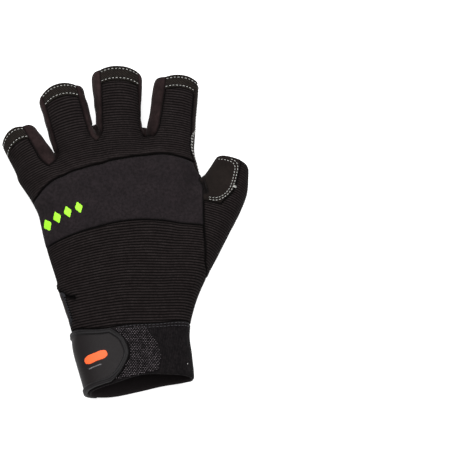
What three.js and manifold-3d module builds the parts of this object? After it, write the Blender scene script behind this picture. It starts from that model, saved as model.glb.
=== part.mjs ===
// A half-finger work glove for the left hand, lying palm down, in millimetres. +Z is up, and it lies on
// z = 0. +X is the thumb side and +Y points to the fingertips.
// Every cloth piece is a thin wall on one smooth hollow form.
import * as THREE from "three";
import { mergeVertices } from "three/addons/utils/BufferGeometryUtils.js";
import Module from "manifold-3d";

const wasm = await Module();
wasm.setup();

// Driving dimensions. CENTRE is the middle of the whole plan, which becomes the origin.
const CENTRE = [2.46, -0.5];
const KNIT = 1.3;
const FOAM = 1.9;
const HEM = 1.6;
const SUEDE = 1.3;
const STRIP = 1.1;
const CUFF = 1.6;
const HEM_PROUD = 0.3;
const BAND_PROUD = 0.5;
const WRAP_PROUD = 0.3;
const LAYER_GAP = 0.4;
const OVERLAY = 1.0;
const PAD = 2.2;
const LOOPS = 1.2;
const TAB = 2.4;
const TAB_GAP = 0.7;
const SEAM_INSET = 0.2;
const STRIP_INSET = 0.5;
const THUMB_INSET = 0.4;
const CUFF_INSET = 0.3;
const THUMB_GAP = 0.6;
const HAND_END = 54;
// How widely the joins are rounded off: between two fingers, and where fingers and thumb leave the hand
const FINGER_BLEND = 2;
const HAND_BLEND = 5;
const SECTION_POWER = 2.5;

// The hollow form is a union of tubes. Rows: distance along the tube, its left and right sides, the height
// of its widest line, and how far its section rises above and drops below that line.
const COLUMNS = ["along", "left", "right", "mid", "rise", "drop"];
const TUBES = {
  hand: {
    base: [0, 0],
    lean: 0,
    rows: [
      [-112, -14.6, 43, 11.5, 11, 10.6],
      [-92, -19.4, 42.6, 11.5, 11.3, 10.6],
      [-76, -23.8, 41.4, 11.5, 11.6, 10.4],
      [-62, -27, 40.3, 12, 12, 9.4],
      [-47, -31.3, 42.5, 12.5, 12.8, 9],
      [-30, -35.8, 45, 12.8, 13.2, 9],
      [-11, -41.8, 46, 13, 13.4, 9.3],
      [7, -45.8, 46, 13, 13.4, 9.3],
      [24, -49.5, 48, 12.6, 12.6, 8.8],
      [40, -44, 44.2, 11.5, 11.4, 8],
      [54, -30, 38, 11, 10, 6],
    ],
  },
  little: {
    base: [-45, 32],
    lean: -27,
    rows: [
      [-40, -3, 6, 12, 6, 4],
      [-14, -9.4, 10.5, 12, 10.6, 8.2],
      [-4, -11.2, 11.6, 11.6, 10.3, 8.3],
      [3, -11.9, 12.1, 11.2, 10, 8.5],
      [8, -11.7, 12.3, 11, 9.8, 8.8],
      [11, -10.7, 12.4, 10.8, 9.6, 9],
      [16, -10.3, 12.4, 10.6, 9.4, 9.3],
      [28, -10.2, 11, 10.2, 8.8, 9.2],
      [46, -10, 8, 10, 8.4, 9],
    ],
  },
  ring: {
    base: [-27, 50],
    lean: -15,
    rows: [
      [-50, -6, 10, 12.5, 7, 5],
      [-20, -9.5, 13, 12.4, 12.2, 8.4],
      [0, -10, 14.4, 11.6, 11, 8.6],
      [16, -10.2, 14.6, 10.8, 9.8, 9.6],
      [36, -10, 14.8, 10.4, 9.2, 9.6],
      [52, -10, 14.6, 10.2, 9, 9.4],
    ],
  },
  middle: {
    base: [0, 58],
    lean: -3.5,
    rows: [
      [-55, -8, 9, 12.5, 7, 5],
      [-22, -11.5, 12.5, 12.4, 12.8, 8.6],
      [0, -14.4, 13.6, 11.8, 11.4, 8.8],
      [14, -12.9, 12.4, 10.9, 10.2, 9.8],
      [38, -13.3, 14.2, 10.4, 9.6, 9.8],
      [54, -13.3, 14.4, 10.2, 9.4, 9.6],
    ],
  },
  index: {
    base: [30, 55],
    lean: 5,
    rows: [
      [-55, -8, 8, 12.5, 7, 5],
      [-22, -11.5, 12.6, 12.4, 12.4, 8.6],
      [0, -15.6, 12.4, 11.6, 11, 8.7],
      [8, -15.2, 12.4, 11.3, 10.6, 9],
      [16, -14.3, 12.2, 10.9, 10, 9.7],
      [38, -13.4, 11.9, 10.4, 9.5, 9.7],
      [54, -13.2, 11.8, 10.2, 9.3, 9.6],
    ],
  },
  thumb: {
    base: [37, -46],
    lean: 16.5,
    rows: [
      [-8, -16, 2, 12.5, 8, 6],
      [12, -17, 5.6, 12.6, 10.6, 8],
      [32, -17, 8.8, 12.8, 12, 8.8],
      [53, -15.5, 12.2, 12.8, 12.4, 9.4],
      [74, -13, 15, 12.6, 12, 9.8],
      [88, -9.6, 12.8, 12.4, 11, 9.8],
      [97, -7.6, 10.6, 12.4, 10.4, 9.6],
      [110, -7, 10.4, 12.2, 10, 9.4],
    ],
  },
};

// Rows across the back and the palm, as how far toward the fingers they lie at six places from the left side
// to the seam on the thumb side.
const PLACES = [0, 0.08, 0.25, 0.5, 0.75, 1];
const CUFF_SEAM = [-62.5, -63.4, -64.4, -62.2, -61, -57.5];
const BAND_LOW = [-11.5, -9.1, -4, 1.4, 2, -1];
const BAND_TOP = [19.2, 27.2, 35.2, 40.2, 44, 45.6];
const PALM_SEAM = [-62.5, -62.2, -62, -62, -62, -57.5];
const CUFF_LIP = [-101, -99.9, -97.5, -93, -92, -91.5];
const CUFF_LIP_PALM = [-101, -100.5, -99, -95.2, -91.9, -90.8];

// The seam between the hand and the thumb: distance toward the fingers, and how far right it lies.
const THUMB_SEAM = [
  [-62, 40.3],
  [-47, 42.5],
  [-31, 48.1],
  [-20, 49.6],
  [0, 48.6],
  [33, 47.6],
  [39, 45.2],
  [45, 43.3],
  [56, 42.6],
];
const APEX = -31;
const WEB = 33;

// Where two fingers part: the tip of the V on the back, the fold between them, and the tip of the V in front
const CROTCHES = [
  { back: [-41.3, 38.4], fold: [-38.2, 50.2], front: [-40.2, 42.4] },
  { back: [-13.8, 54], fold: [-16.4, 67.6], front: [-15.4, 58.4] },
  { back: [19.4, 58.2], fold: [15.8, 66], front: [15.6, 59.6] },
];

// Lanes run from the band over one finger each. A seam is measured across the finger from its axis, at the
// crotch and at the finger's end. Without a seam the knit meets the suede on the finger's own side, and root
// is where that starts. skew is how much further than tip the left and the right side of the finger reach.
const FINGERS = [
  {
    name: "little", tip: 33.6, skew: [0, 0], hem: 8.4, arch: 2.4, root: [-54, 26.5],
    back: [null, [3.8, 3.7]], front: [null, [8.6, 7.6]],
  },
  {
    name: "ring", tip: 36.6, skew: [0.8, 1.8], hem: 7.8, arch: 3,
    back: [[-8.4, -8.6], [11.2, 11]], front: [[-8.4, -8.8], [12.4, 13]],
  },
  {
    name: "middle", tip: 40, skew: [2, 0], hem: 8.6, arch: 2.2,
    back: [[-10.6, -9.3], [11.6, 12.4]], front: [[-11.2, -11.4], [11.4, 12.4]],
  },
  {
    name: "index", tip: 38.3, skew: [1.2, 0], hem: 7.8, arch: 1.9, root: [42.8, 51],
    back: [[-8.6, -6.9], null], front: [[-12, -11.2], null],
  },
];
// The part of its arch that a row keeps at a finger's root, and on the palm side
const ROOT_ARCH = 0.4;
const FRONT_ARCH = 0.3;
// Along the thumb: where its gusset and its front start, how soon the gusset opens out, how soon the inner
// edge leaves the web, the wrap's lower edge, and the thumb's open end. Round it, in degrees: the wrap's
// stitched edge on the back and the knit's edge on the front.
const THUMB = {
  gusset: 17.5, frontLow: 20.5, open: 16, settle: 8, wrapLow: 62, tip: 93, wrapEdge: 64, knitFold: -32,
};
// Where the points lie that steer the thumb's rows, from the inner seam to the knit
const THUMB_BACK_STEPS = [0.07, 0.35, 0.7];
const THUMB_FRONT_STEPS = [0.08, 0.45, 0.8];

// The tab and the loop patch on the back of the cuff. Rows: how far from the lip to the cuff seam, where the
// tab's free end lies, and where the patch ends, as parts of the width of the cuff.
const CLOSURE = [
  [0, 0.2, 0.66],
  [0.1, 0.31, 0.7],
  [0.25, 0.39, 0.73],
  [0.42, 0.44, 0.735],
  [0.6, 0.44, 0.71],
  [0.8, 0.405, 0.67],
  [1, 0.31, 0.62],
];
const [TAB_END, PATCH_END] = [1, 2];
// How far the tab reaches under the wrist, and the gap between it and the patch, as parts of the same width
const TAB_UNDER = 0.09;
const PATCH_GAP = 0.008;
// Rows of a layer: the first, the last and how many steps lie between, from the lip up to the cuff seam
const TAB_ROWS = [0.02, 0.97, 8];
const PATCH_ROWS = [0.04, 0.95, 7];

// Outlines on the palm, seen from above through the hand: the second layer, then the pads on it.
const OVERLAY_OUTLINE = [
  [-50, 30], [-46, 35], [-39.5, 37], [-33, 43], [-25, 49.4], [-19, 50], [-13.5, 49], [-6, 51], [2, 54.5],
  [8, 54], [15, 49.5], [23, 49.5], [31, 50.5], [37.5, 47], [40, 39], [38.5, 28.5], [31, 25.5], [0, 24],
  [-20, 22], [-27, 17.5], [-30, 9.5], [-29.4, 1.5], [-26, -6.5], [-19.5, -13.5], [-11, -16.6],
  [-3.5, -15.4], [2.2, -11], [4.4, -4.6], [1.6, 1.2], [-5.5, 3.8], [-12, 6], [-14.6, 10.6], [-11.6, 15.4],
  [-4, 17.4], [9, 17.8], [24, 17.4], [30.5, 13.8], [32.8, 7], [30, -2.5], [23, -15.5], [14.5, -26.5],
  [5, -34], [-6, -38.5], [-17, -38.8], [-26, -34.8], [-33, -26.8], [-37.4, -16], [-41.2, -5], [-44, 6],
  [-46.5, 17],
];
// How many corners an outline is cut with
const OVERLAY_CORNERS = 80;
const PAD_CORNERS = 28;
const PADS = {
  pad_knuckle_ulnar: [
    [-46.6, 29.5], [-44, 32.6], [-38, 33.6], [-32, 38.6], [-25, 45], [-18.5, 46], [-12.5, 44], [-10.4, 38],
    [-12, 31], [-18, 27.6], [-31, 25.6], [-44, 24.6],
  ],
  pad_knuckle_radial: [
    [-3, 36], [-1.8, 44], [2.8, 49.4], [7.6, 48.8], [14, 44.8], [22.4, 44.8], [30, 46.2], [35, 43.4],
    [36, 36.4], [34, 31], [26, 29.2], [6, 28], [-1, 29.8],
  ],
  pad_heel: [
    [-42.8, 15], [-40.8, 18.8], [-36.4, 18.8], [-34.2, 15], [-33.8, 6], [-32.4, -2], [-28.6, -9.6],
    [-22.4, -16.6], [-17.4, -22.6], [-14.4, -28.4], [-16, -33.4], [-21.4, -33.8], [-28, -29.8],
    [-33.2, -21.8], [-37, -11], [-40.2, 1], [-42.2, 9],
  ],
  pad_thenar: [
    [6, 9], [8.4, 13], [13.6, 14.2], [21, 13.6], [26.6, 10.6], [28.4, 5.5], [26.6, -1.4], [21.6, -10.4],
    [15, -20], [9, -27], [2.6, -31.6], [-4, -33.6], [-8, -31], [-7.6, -26.4], [-3, -20.6], [4.6, -14.2],
    [8.6, -7.6], [8.4, 0], [6.8, 5],
  ],
};

// The places on the width of the hand where the lanes of the four fingers start.
const LANE_PLACES = [0, 0.15, 0.374, 0.696, 1];
const PALM_TOP = [19.2, 24.4, 31, 37, 41, 45.6];

// How finely the sheets are divided: cells across a lane, and rows along each stretch
const BACK_ACROSS = 6;
const PALM_ACROSS = 5;
const ROWS = {
  knit: 9, bandLow: 5, bandTop: 2, root: 3, finger: 5, palmLow: 12, palmTop: 2, palmRoot: 2, cuff: 6,
};
const THUMB_ROWS = { gusset: 9, end: 5, wrap: 3, front: 10 };
const [THUMB_ACROSS, THUMB_OUTER_ACROSS, STRIP_ACROSS] = [7, 5, 6];
const [CUFF_AROUND, TAB_ACROSS, PATCH_ACROSS] = [32, 16, 8];

// Colour and roughness
const FINISHES = {
  knit: [0x201c1c, 0.95],
  foam: [0x2b292c, 0.8],
  hem: [0x242320, 0.9],
  suede: [0x211e1b, 0.95],
  layer: [0x262120, 0.95],
  strip: [0x2a2120, 0.95],
  elastic: [0x121112, 0.9],
  rubber: [0x2c2a2a, 0.6],
  loops: [0x35333a, 1],
};

// Numbers of the solving: how close is close enough, how far a point may jump at once and how flat a slope
// may count, the heights and distances between which an edge of the form is sought, and by how many halvings
const CLOSE = 1e-4;
const FURTHEST = 3;
const FLATTEST = 0.3;
const TURNS = 12;
const [LOWEST, HIGHEST] = [-25, 50];
const [NEAR_PARTING, PAST_PARTING] = [-12, 5];
const HALVINGS = 24;
const WELD = 0.01;
// A sharp corner of a rim is drawn in no further than this lets it.
const SHARPEST = 0.7;

const lerp = THREE.MathUtils.lerp;
const vec = (x, y, z) => new THREE.Vector3(x, y, z);

// A smooth reading of a table: a cubic through neighbouring rows, held level past both ends.
function read(rows, at, column) {
  const last = rows.length - 1;
  if (at <= rows[0][0]) return rows[0][column];
  if (at >= rows[last][0]) return rows[last][column];
  let i = 0;
  while (rows[i + 1][0] < at) i += 1;
  const slope = (a, b) => (rows[b][column] - rows[a][column]) / (rows[b][0] - rows[a][0]);
  const span = rows[i + 1][0] - rows[i][0];
  const t = (at - rows[i][0]) / span;
  const m0 = slope(Math.max(i - 1, 0), i + 1) * span;
  const m1 = slope(i, Math.min(i + 2, last)) * span;
  const [p0, p1] = [rows[i][column], rows[i + 1][column]];
  return p0 + t * (m0 + t * (3 * (p1 - p0) - 2 * m0 - m1 + t * (2 * (p0 - p1) + m0 + m1)));
}

function section(name, along) {
  const row = {};
  COLUMNS.forEach((column, i) => (row[column] = read(TUBES[name].rows, along, i)));
  return row;
}

function frameOf(name) {
  const lean = THREE.MathUtils.degToRad(TUBES[name].lean);
  return { along: [Math.sin(lean), Math.cos(lean)], side: [Math.cos(lean), -Math.sin(lean)] };
}

function toTube(name, x, y) {
  const { along, side } = frameOf(name);
  const [dx, dy] = [x - TUBES[name].base[0], y - TUBES[name].base[1]];
  return [dx * along[0] + dy * along[1], dx * side[0] + dy * side[1]];
}

function fromTube(name, along, side, z) {
  const axes = frameOf(name);
  const base = TUBES[name].base;
  const [x, y] = [0, 1].map((i) => base[i] + along * axes.along[i] + side * axes.side[i]);
  return vec(x, y, z);
}

// The point of a tube's section at an angle: 0 is its right side, 90 its top, 180 its left side
function onTube(name, along, degrees) {
  const s = section(name, along);
  const turn = THREE.MathUtils.degToRad(degrees);
  const bulge = (value) => Math.sign(value) * Math.abs(value) ** (2 / SECTION_POWER);
  const side = lerp(s.left, s.right, 0.5) + ((s.right - s.left) / 2) * bulge(Math.cos(turn));
  const up = bulge(Math.sin(turn));
  return fromTube(name, along, side, s.mid + up * (up > 0 ? s.rise : s.drop));
}

function tubeDistance(name, p) {
  const [along, across] = toTube(name, p.x, p.y);
  const s = section(name, along);
  const half = (s.right - s.left) / 2;
  const tall = p.z > s.mid ? s.rise : s.drop;
  const a = Math.abs(across - (s.left + s.right) / 2) / half + CLOSE;
  const b = Math.abs(p.z - s.mid) / tall + CLOSE;
  const r = (a ** SECTION_POWER + b ** SECTION_POWER) ** (1 / SECTION_POWER);
  const lower = SECTION_POWER - 1;
  const slope = Math.hypot((a / r) ** lower / half, (b / r) ** lower / tall);
  return (r - 1) / slope;
}

function join(a, b, blend) {
  const near = Math.max(blend - Math.abs(a - b), 0);
  return Math.min(a, b) - (near * near) / (4 * blend);
}

// How far a point is from the form, negative inside.
function distance(p) {
  const fingers = FINGERS.map(({ name }) => tubeDistance(name, p)).reduce((a, b) => join(a, b, FINGER_BLEND));
  const hand = Math.max(tubeDistance("hand", p), p.y - HAND_END);
  return join(join(hand, fingers, HAND_BLEND), tubeDistance("thumb", p), HAND_BLEND);
}

function slopeAt(p) {
  const step = 0.02;
  const along = (axis) => {
    const q = p.clone();
    q[axis] += step;
    const ahead = distance(q);
    q[axis] -= 2 * step;
    return (ahead - distance(q)) / (2 * step);
  };
  return vec(along("x"), along("y"), along("z"));
}

// Moves a guessed point straight onto the form.
function settle(guess) {
  const p = guess.clone();
  for (let turn = 0; turn < TURNS; turn += 1) {
    const d = distance(p);
    if (Math.abs(d) < CLOSE) break;
    const slope = slopeAt(p);
    const stride = -THREE.MathUtils.clamp(d, -FURTHEST, FURTHEST);
    p.addScaledVector(slope, stride / Math.max(slope.lengthSq(), FLATTEST));
  }
  return p;
}

// Where a line leaves the form: its point at(t) is inside at the first value and outside at the last
function leaving(at, inside, outside) {
  let [low, high] = [inside, outside];
  for (let i = 0; i < HALVINGS; i += 1) {
    const half = (low + high) / 2;
    if (distance(at(half)) > 0) high = half;
    else low = half;
  }
  return at(low);
}

// The form's surface over a point of the plan, on top or underneath
const handSide = (x, y) => vec(x, y, section("hand", y).mid);
const surface = (x, y, end) => {
  const middle = handSide(x, y);
  return distance(middle) > 0 ? middle : leaving((z) => vec(x, y, z), middle.z, end);
};
const onTop = (x, y) => surface(x, y, HIGHEST);
const underneath = (x, y) => surface(x, y, LOWEST);

// Where the form ends between two tubes: near a point of the plan, along a line that leans as the gap does
function parting([x, y], lean) {
  const turn = THREE.MathUtils.degToRad(lean);
  const at = (t) => handSide(x + t * Math.sin(turn), y + t * Math.cos(turn));
  return leaving(at, NEAR_PARTING, PAST_PARTING);
}

const seamX = (y) => read(THUMB_SEAM, y, 1);
// Even steps from one value to another.
const steps = (from, to, count) => Array.from({ length: count + 1 }, (_, i) => lerp(from, to, i / count));
// As steps, but with one step falling on a stop that has to be met.
const stepsBy = (from, stop, to, before, after) =>
  [...steps(from, stop, before), ...steps(stop, to, after).slice(1)];
const mixRows = (a, b, t) => a.map((value, i) => lerp(value, b[i], t));

// The points that steer one row across the hand, between two places of its width. The outermost points lie on
// the hand's sides, unless the thumb seam runs there.
const STEPS = [0, 0.03, 0.12, 0.34, 0.66, 0.88, 0.97, 1];
function handRow(values, underside, from = 0, to = 1) {
  const rows = PLACES.map((place, i) => [place, values[i]]);
  const left = section("hand", values[0]).left;
  const end = values.at(-1);
  const right = seamX(end);
  const open = end > APEX && end < WEB;
  const face = underside ? underneath : onTop;
  return STEPS.map((step) => {
    const place = lerp(from, to, step);
    const [x, y] = [lerp(left, right, place), read(rows, place, 1)];
    const atSide = place === 0 || (place === 1 && !open);
    return atSide ? handSide(x, y) : face(x, y);
  });
}

// Where the edge of a finger's lane lies, from its V at t = 0 to the finger's end at t = 1. The hem takes the
// last part.
const HEM_START = 0.86;
const V_LENGTH = 8;
function laneEdge(finger, right, t, underside) {
  const { name, tip, skew, hem } = finger;
  const seam = finger[underside ? "front" : "back"][right ? 1 : 0];
  const crotch = CROTCHES[FINGERS.indexOf(finger) - (right ? 0 : 1)];
  const start = crotch ? (underside ? crotch.front : crotch.back) : finger.root;
  const [along0, side0] = toTube(name, start[0], start[1]);
  const low = Math.min(t / HEM_START, 1);
  const high = Math.max((t - HEM_START) / (1 - HEM_START), 0);
  const end = tip + skew[right ? 1 : 0];
  const along = lerp(along0, end - hem, low) + hem * high;
  const own = section(name, along)[right ? "right" : "left"];
  const away = Math.min(1, (along - along0) / V_LENGTH);
  const across = lerp(side0, seam ? lerp(seam[0], seam[1], low) : own, away * (2 - away));
  return { along, across, open: !seam };
}

function laneRow(finger, t, underside) {
  const face = underside ? underneath : onTop;
  const [a, b] = [laneEdge(finger, false, t, underside), laneEdge(finger, true, t, underside)];
  const arch = finger.arch * (underside ? FRONT_ARCH : 1) * lerp(ROOT_ARCH, 1, t);
  return STEPS.map((step) => {
    const along = lerp(a.along, b.along, step) + arch * (1 - (2 * step - 1) ** 2);
    const p = fromTube(finger.name, along, lerp(a.across, b.across, step), 0);
    const atSide = (step === 0 && a.open) || (step === 1 && b.open);
    return atSide ? p.setZ(section(finger.name, along).mid) : face(p.x, p.y);
  });
}

// Rows from the band's upper edge, at t = 0, to the lane's first row, at t = 1.
function rootRow(finger, values, t, underside) {
  const number = FINGERS.indexOf(finger);
  const low = handRow(values, underside, LANE_PLACES[number], LANE_PLACES[number + 1]);
  const high = laneRow(finger, 0, underside);
  return STEPS.map((step, i) => {
    const p = low[i].clone().lerp(high[i], t);
    const atSide = (step === 0 && number === 0) || (step === 1 && number === FINGERS.length - 1);
    return atSide ? p : (underside ? underneath : onTop)(p.x, p.y);
  });
}

// A closed wall grown from grids of points on the form. Grids that share an edge are welded.
class Sheet {
  constructor() {
    this.points = [];
    this.index = new Map();
    this.faces = [];
  }

  vertex(p) {
    const key = [p.x, p.y, p.z].map((value) => Math.round(value / WELD)).join();
    if (!this.index.has(key)) {
      this.index.set(key, this.points.length);
      this.points.push(p);
    }
    return this.index.get(key);
  }

  // controls(v) gives the points that steer the row at v, from left to right as seen from outside with +v up.
  grid(controls, across, stops, closed = false) {
    const lines = stops.map((v) => {
      const curve = new THREE.CatmullRomCurve3(controls(v), closed, "centripetal");
      return Array.from({ length: across + 1 }, (_, i) => this.vertex(settle(curve.getPointAt(i / across))));
    });
    for (let j = 0; j < stops.length - 1; j += 1)
      for (let i = 0; i < across; i += 1) {
        const [a, b, c, d] = [lines[j][i], lines[j][i + 1], lines[j + 1][i + 1], lines[j + 1][i]];
        for (const face of [[a, b, c], [a, c, d]]) if (new Set(face).size === 3) this.faces.push(face);
      }
    return this;
  }

  // The edges that one face alone uses, which run round the sheet.
  rim() {
    const used = new Map();
    for (const [a, b, c] of this.faces)
      for (const [p, q] of [[a, b], [b, c], [c, a]]) used.set(`${p},${q}`, [p, q]);
    return [...used.values()].filter(([p, q]) => !used.has(`${q},${p}`));
  }

  // The wall fills the space between two heights above the form. Its rim is drawn in, which opens the seams.
  solid(outerLift, innerLift, seamInset = SEAM_INSET, floor = -Infinity) {
    const normals = this.points.map((p) => slopeAt(p).normalize());
    const pull = this.points.map(() => vec(0, 0, 0));
    const rim = this.rim();
    for (const [p, q] of rim) {
      const edge = this.points[q].clone().sub(this.points[p]).normalize();
      for (const end of [p, q]) pull[end].add(normals[end].clone().cross(edge));
    }
    const raised = (lift) =>
      this.points.map((p, i) => {
        const inset = (2 * seamInset) / Math.max(pull[i].lengthSq(), SHARPEST);
        const moved = p.clone().addScaledVector(pull[i], inset).addScaledVector(normals[i], lift);
        return moved.setZ(Math.max(moved.z, floor));
      });
    const count = this.points.length;
    const faces = [...this.faces];
    for (const [a, b, c] of this.faces) faces.push([a + count, c + count, b + count]);
    for (const [p, q] of rim) faces.push([q, p, p + count], [q, p + count, q + count]);
    return { points: [...raised(outerLift), ...raised(innerLift)], faces };
  }
}

const group = new THREE.Group();
function piece(name, { points, faces }, finish) {
  const geometry = new THREE.BufferGeometry();
  const numbers = points.flatMap((p) => [p.x, p.y, p.z]);
  geometry.setAttribute("position", new THREE.Float32BufferAttribute(numbers, 3));
  geometry.setIndex(faces.flat());
  geometry.computeVertexNormals();
  const [color, roughness] = FINISHES[finish];
  const mesh = new THREE.Mesh(geometry, new THREE.MeshStandardMaterial({ color, roughness, metalness: 0 }));
  mesh.name = name;
  group.add(mesh);
}

// The back of the hand, in lanes that run on into the fingers, so that its seams match edge for edge
const HEM_STOPS = [HEM_START, 1];
const LANE_STOPS = steps(0, HEM_START, ROWS.finger);
const handLane = (low, high, number, underside) => (v) =>
  handRow(mixRows(low, high, v), underside, LANE_PLACES[number], LANE_PLACES[number + 1]);

const webPoint = parting([seamX(WEB), WEB], TUBES.thumb.lean / 2);
const webStop = (low, high) => (webPoint.y - low.at(-1)) / (high.at(-1) - low.at(-1));

const [knitBack, band, knitFingers] = [new Sheet(), new Sheet(), new Sheet()];
const bandStops = stepsBy(0, webStop(BAND_LOW, BAND_TOP), 1, ROWS.bandLow, ROWS.bandTop);
FINGERS.forEach((finger, i) => {
  knitBack.grid(handLane(CUFF_SEAM, BAND_LOW, i, false), BACK_ACROSS, steps(0, 1, ROWS.knit));
  band.grid(handLane(BAND_LOW, BAND_TOP, i, false), BACK_ACROSS, bandStops);
  knitFingers.grid((v) => rootRow(finger, BAND_TOP, v, false), BACK_ACROSS, steps(0, 1, ROWS.root));
  knitFingers.grid((v) => laneRow(finger, v, false), BACK_ACROSS, LANE_STOPS);
  const hem = new Sheet().grid((v) => laneRow(finger, v, false), BACK_ACROSS, HEM_STOPS);
  piece(`hem_${finger.name}`, hem.solid(HEM_PROUD, HEM_PROUD - HEM), "hem");
});
piece("knit_back", knitBack.solid(0, -KNIT), "knit");
piece("knuckle_band", band.solid(BAND_PROUD, BAND_PROUD - FOAM), "foam");
piece("knit_fingers", knitFingers.solid(0, -KNIT), "knit");

// The strips between the fingers. Each starts at the end of one finger, folds at the crotch and ends at the
// next. Its middle leaves the fold over the first part of each finger.
const FOLD_SHARE = 0.25;
function stripRow(finger, right, t, fold) {
  const mid = (a, b) => settle(a.clone().lerp(b, 0.5));
  const edge = (underside) => {
    const { along, across } = laneEdge(finger, right, t, underside);
    const p = fromTube(finger.name, along, across, 0);
    return (underside ? underneath : onTop)(p.x, p.y);
  };
  const start = toTube(finger.name, fold.x, fold.y)[0];
  const end = finger.tip + finger.skew[right ? 1 : 0];
  const own = onTube(finger.name, lerp(start, end, t), right ? 0 : 180);
  const middle = settle(fold.clone().lerp(own, Math.min(1, t / FOLD_SHARE)));
  const [back, front] = [edge(false), edge(true)];
  return [back, mid(back, middle), middle, mid(middle, front), front];
}
CROTCHES.forEach((crotch, i) => {
  const [left, right] = [FINGERS[i], FINGERS[i + 1]];
  const fold = parting(crotch.fold, (TUBES[left.name].lean + TUBES[right.name].lean) / 2);
  const strip = new Sheet();
  const stops = [...LANE_STOPS, 1];
  strip.grid((v) => stripRow(right, false, v, fold), STRIP_ACROSS, [...stops].reverse());
  strip.grid((v) => stripRow(left, true, v, fold), STRIP_ACROSS, stops);
  piece(`fourchette_${left.name}_${right.name}`, strip.solid(0, -STRIP, STRIP_INSET), "strip");
});

// The palm, with the fronts of the fingers
const palm = new Sheet();
const reversed = (row) => row.reverse();
const palmStops = stepsBy(0, webStop(PALM_SEAM, PALM_TOP), 1, ROWS.palmLow, ROWS.palmTop);
FINGERS.forEach((finger, i) => {
  const hand = handLane(PALM_SEAM, PALM_TOP, i, true);
  palm.grid((v) => reversed(hand(v)), PALM_ACROSS, palmStops);
  palm.grid((v) => reversed(rootRow(finger, PALM_TOP, v, true)), PALM_ACROSS, steps(0, 1, ROWS.palmRoot));
  palm.grid((v) => reversed(laneRow(finger, v, true)), PALM_ACROSS, [...LANE_STOPS, 1]);
});
piece("palm", palm.solid(0, -SUEDE), "suede");

// The thumb. Its rows lie square to it, from the tip of its gusset at the wrist side up to its open end.
const thumbWeb = settle(webPoint.clone().add(vec(THUMB_GAP, THUMB_GAP, 0)));
const webAlong = toTube("thumb", webPoint.x, webPoint.y)[0];
function seamPoint(along, underside) {
  const y = lerp(APEX, WEB, (along - THUMB.gusset) / (webAlong - THUMB.gusset));
  if (along <= THUMB.gusset) return handSide(seamX(APEX), APEX);
  return (underside ? underneath : onTop)(seamX(y) + THUMB_GAP, y);
}
function innerPoint(along, underside) {
  if (along < webAlong) return seamPoint(along, underside);
  const t = Math.min(1, (along - webAlong) / THUMB.settle);
  return settle(thumbWeb.clone().lerp(onTube("thumb", along, 180), t));
}
// How far the knit reaches round the outer side: it opens out from nothing at the tip of the gusset.
const reach = (along) => Math.min(1, (along - THUMB.gusset) / THUMB.open);
const knitEdge = (along, angle) => onTube("thumb", along, angle * reach(along));
function backRow(along) {
  const [a, b] = [innerPoint(along, false), knitEdge(along, THUMB.wrapEdge)];
  const between = THUMB_BACK_STEPS.map((t) => onTop(lerp(a.x, b.x, t), lerp(a.y, b.y, t)));
  return along <= THUMB.gusset ? [a, b] : [a, ...between, b];
}
const outerRow = (along) => steps(THUMB.wrapEdge, THUMB.knitFold, 4).map((angle) => knitEdge(along, angle));
function frontRow(along) {
  const [a, b] = [knitEdge(along, THUMB.knitFold), innerPoint(along, true)];
  const between = THUMB_FRONT_STEPS.map((t) => underneath(lerp(a.x, b.x, t), lerp(a.y, b.y, t)));
  return [a, ...between, b];
}
const thumbBack = new Sheet();
const gussetStops = steps(THUMB.gusset, THUMB.wrapLow, THUMB_ROWS.gusset);
thumbBack.grid(backRow, THUMB_ACROSS, gussetStops);
thumbBack.grid(outerRow, THUMB_OUTER_ACROSS, gussetStops);
thumbBack.grid(outerRow, THUMB_OUTER_ACROSS, steps(THUMB.wrapLow, THUMB.tip, THUMB_ROWS.end));
piece("thumb_back", thumbBack.solid(0, -KNIT, THUMB_INSET), "knit");

const thumbPalm = new Sheet();
const wrapStops = steps(THUMB.wrapLow, webAlong, THUMB_ROWS.wrap);
const endStops = steps(webAlong, THUMB.tip, THUMB_ROWS.wrap);
thumbPalm.grid(frontRow, THUMB_ACROSS, steps(THUMB.frontLow, webAlong, THUMB_ROWS.front));
thumbPalm.grid(frontRow, THUMB_ACROSS, endStops);
thumbPalm.grid(backRow, THUMB_ACROSS, wrapStops);
thumbPalm.grid(backRow, THUMB_ACROSS, endStops);
piece("thumb_palm", thumbPalm.solid(WRAP_PROUD, WRAP_PROUD - SUEDE, THUMB_INSET), "strip");

// The cuff is one closed ring.
function ringRow(back, front) {
  return [...handRow(back, false), ...handRow(front, true).reverse().slice(1, -1)];
}
const cuffRow = (v) => ringRow(mixRows(CUFF_LIP, CUFF_SEAM, v), mixRows(CUFF_LIP_PALM, PALM_SEAM, v));
const cuff = new Sheet().grid(cuffRow, CUFF_AROUND, steps(0, 1, ROWS.cuff), true);
piece("cuff", cuff.solid(0, -CUFF, CUFF_INSET), "elastic");

// The closure lies on the cuff's back, and the tab also reaches round the little-finger side.
const cuffBack = (v, from, to) => handRow(mixRows(CUFF_LIP, CUFF_SEAM, v), false, from, to);
const cuffFront = (v, from, to) => handRow(mixRows(CUFF_LIP_PALM, PALM_SEAM, v), true, from, to);
const tabRow = (v) => [
  ...reversed(cuffFront(v, 0, TAB_UNDER)),
  ...cuffBack(v, 0, read(CLOSURE, v, TAB_END)).slice(1),
];
const tab = new Sheet().grid(tabRow, TAB_ACROSS, steps(...TAB_ROWS));
piece("wrist_tab", tab.solid(TAB_GAP + TAB, TAB_GAP), "rubber");
const patchRow = (v) => cuffBack(v, read(CLOSURE, v, TAB_END) + PATCH_GAP, read(CLOSURE, v, PATCH_END));
const patch = new Sheet().grid(patchRow, PATCH_ACROSS, steps(...PATCH_ROWS));
piece("loop_patch", patch.solid(LAYER_GAP + LOOPS, LAYER_GAP), "loops");

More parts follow.
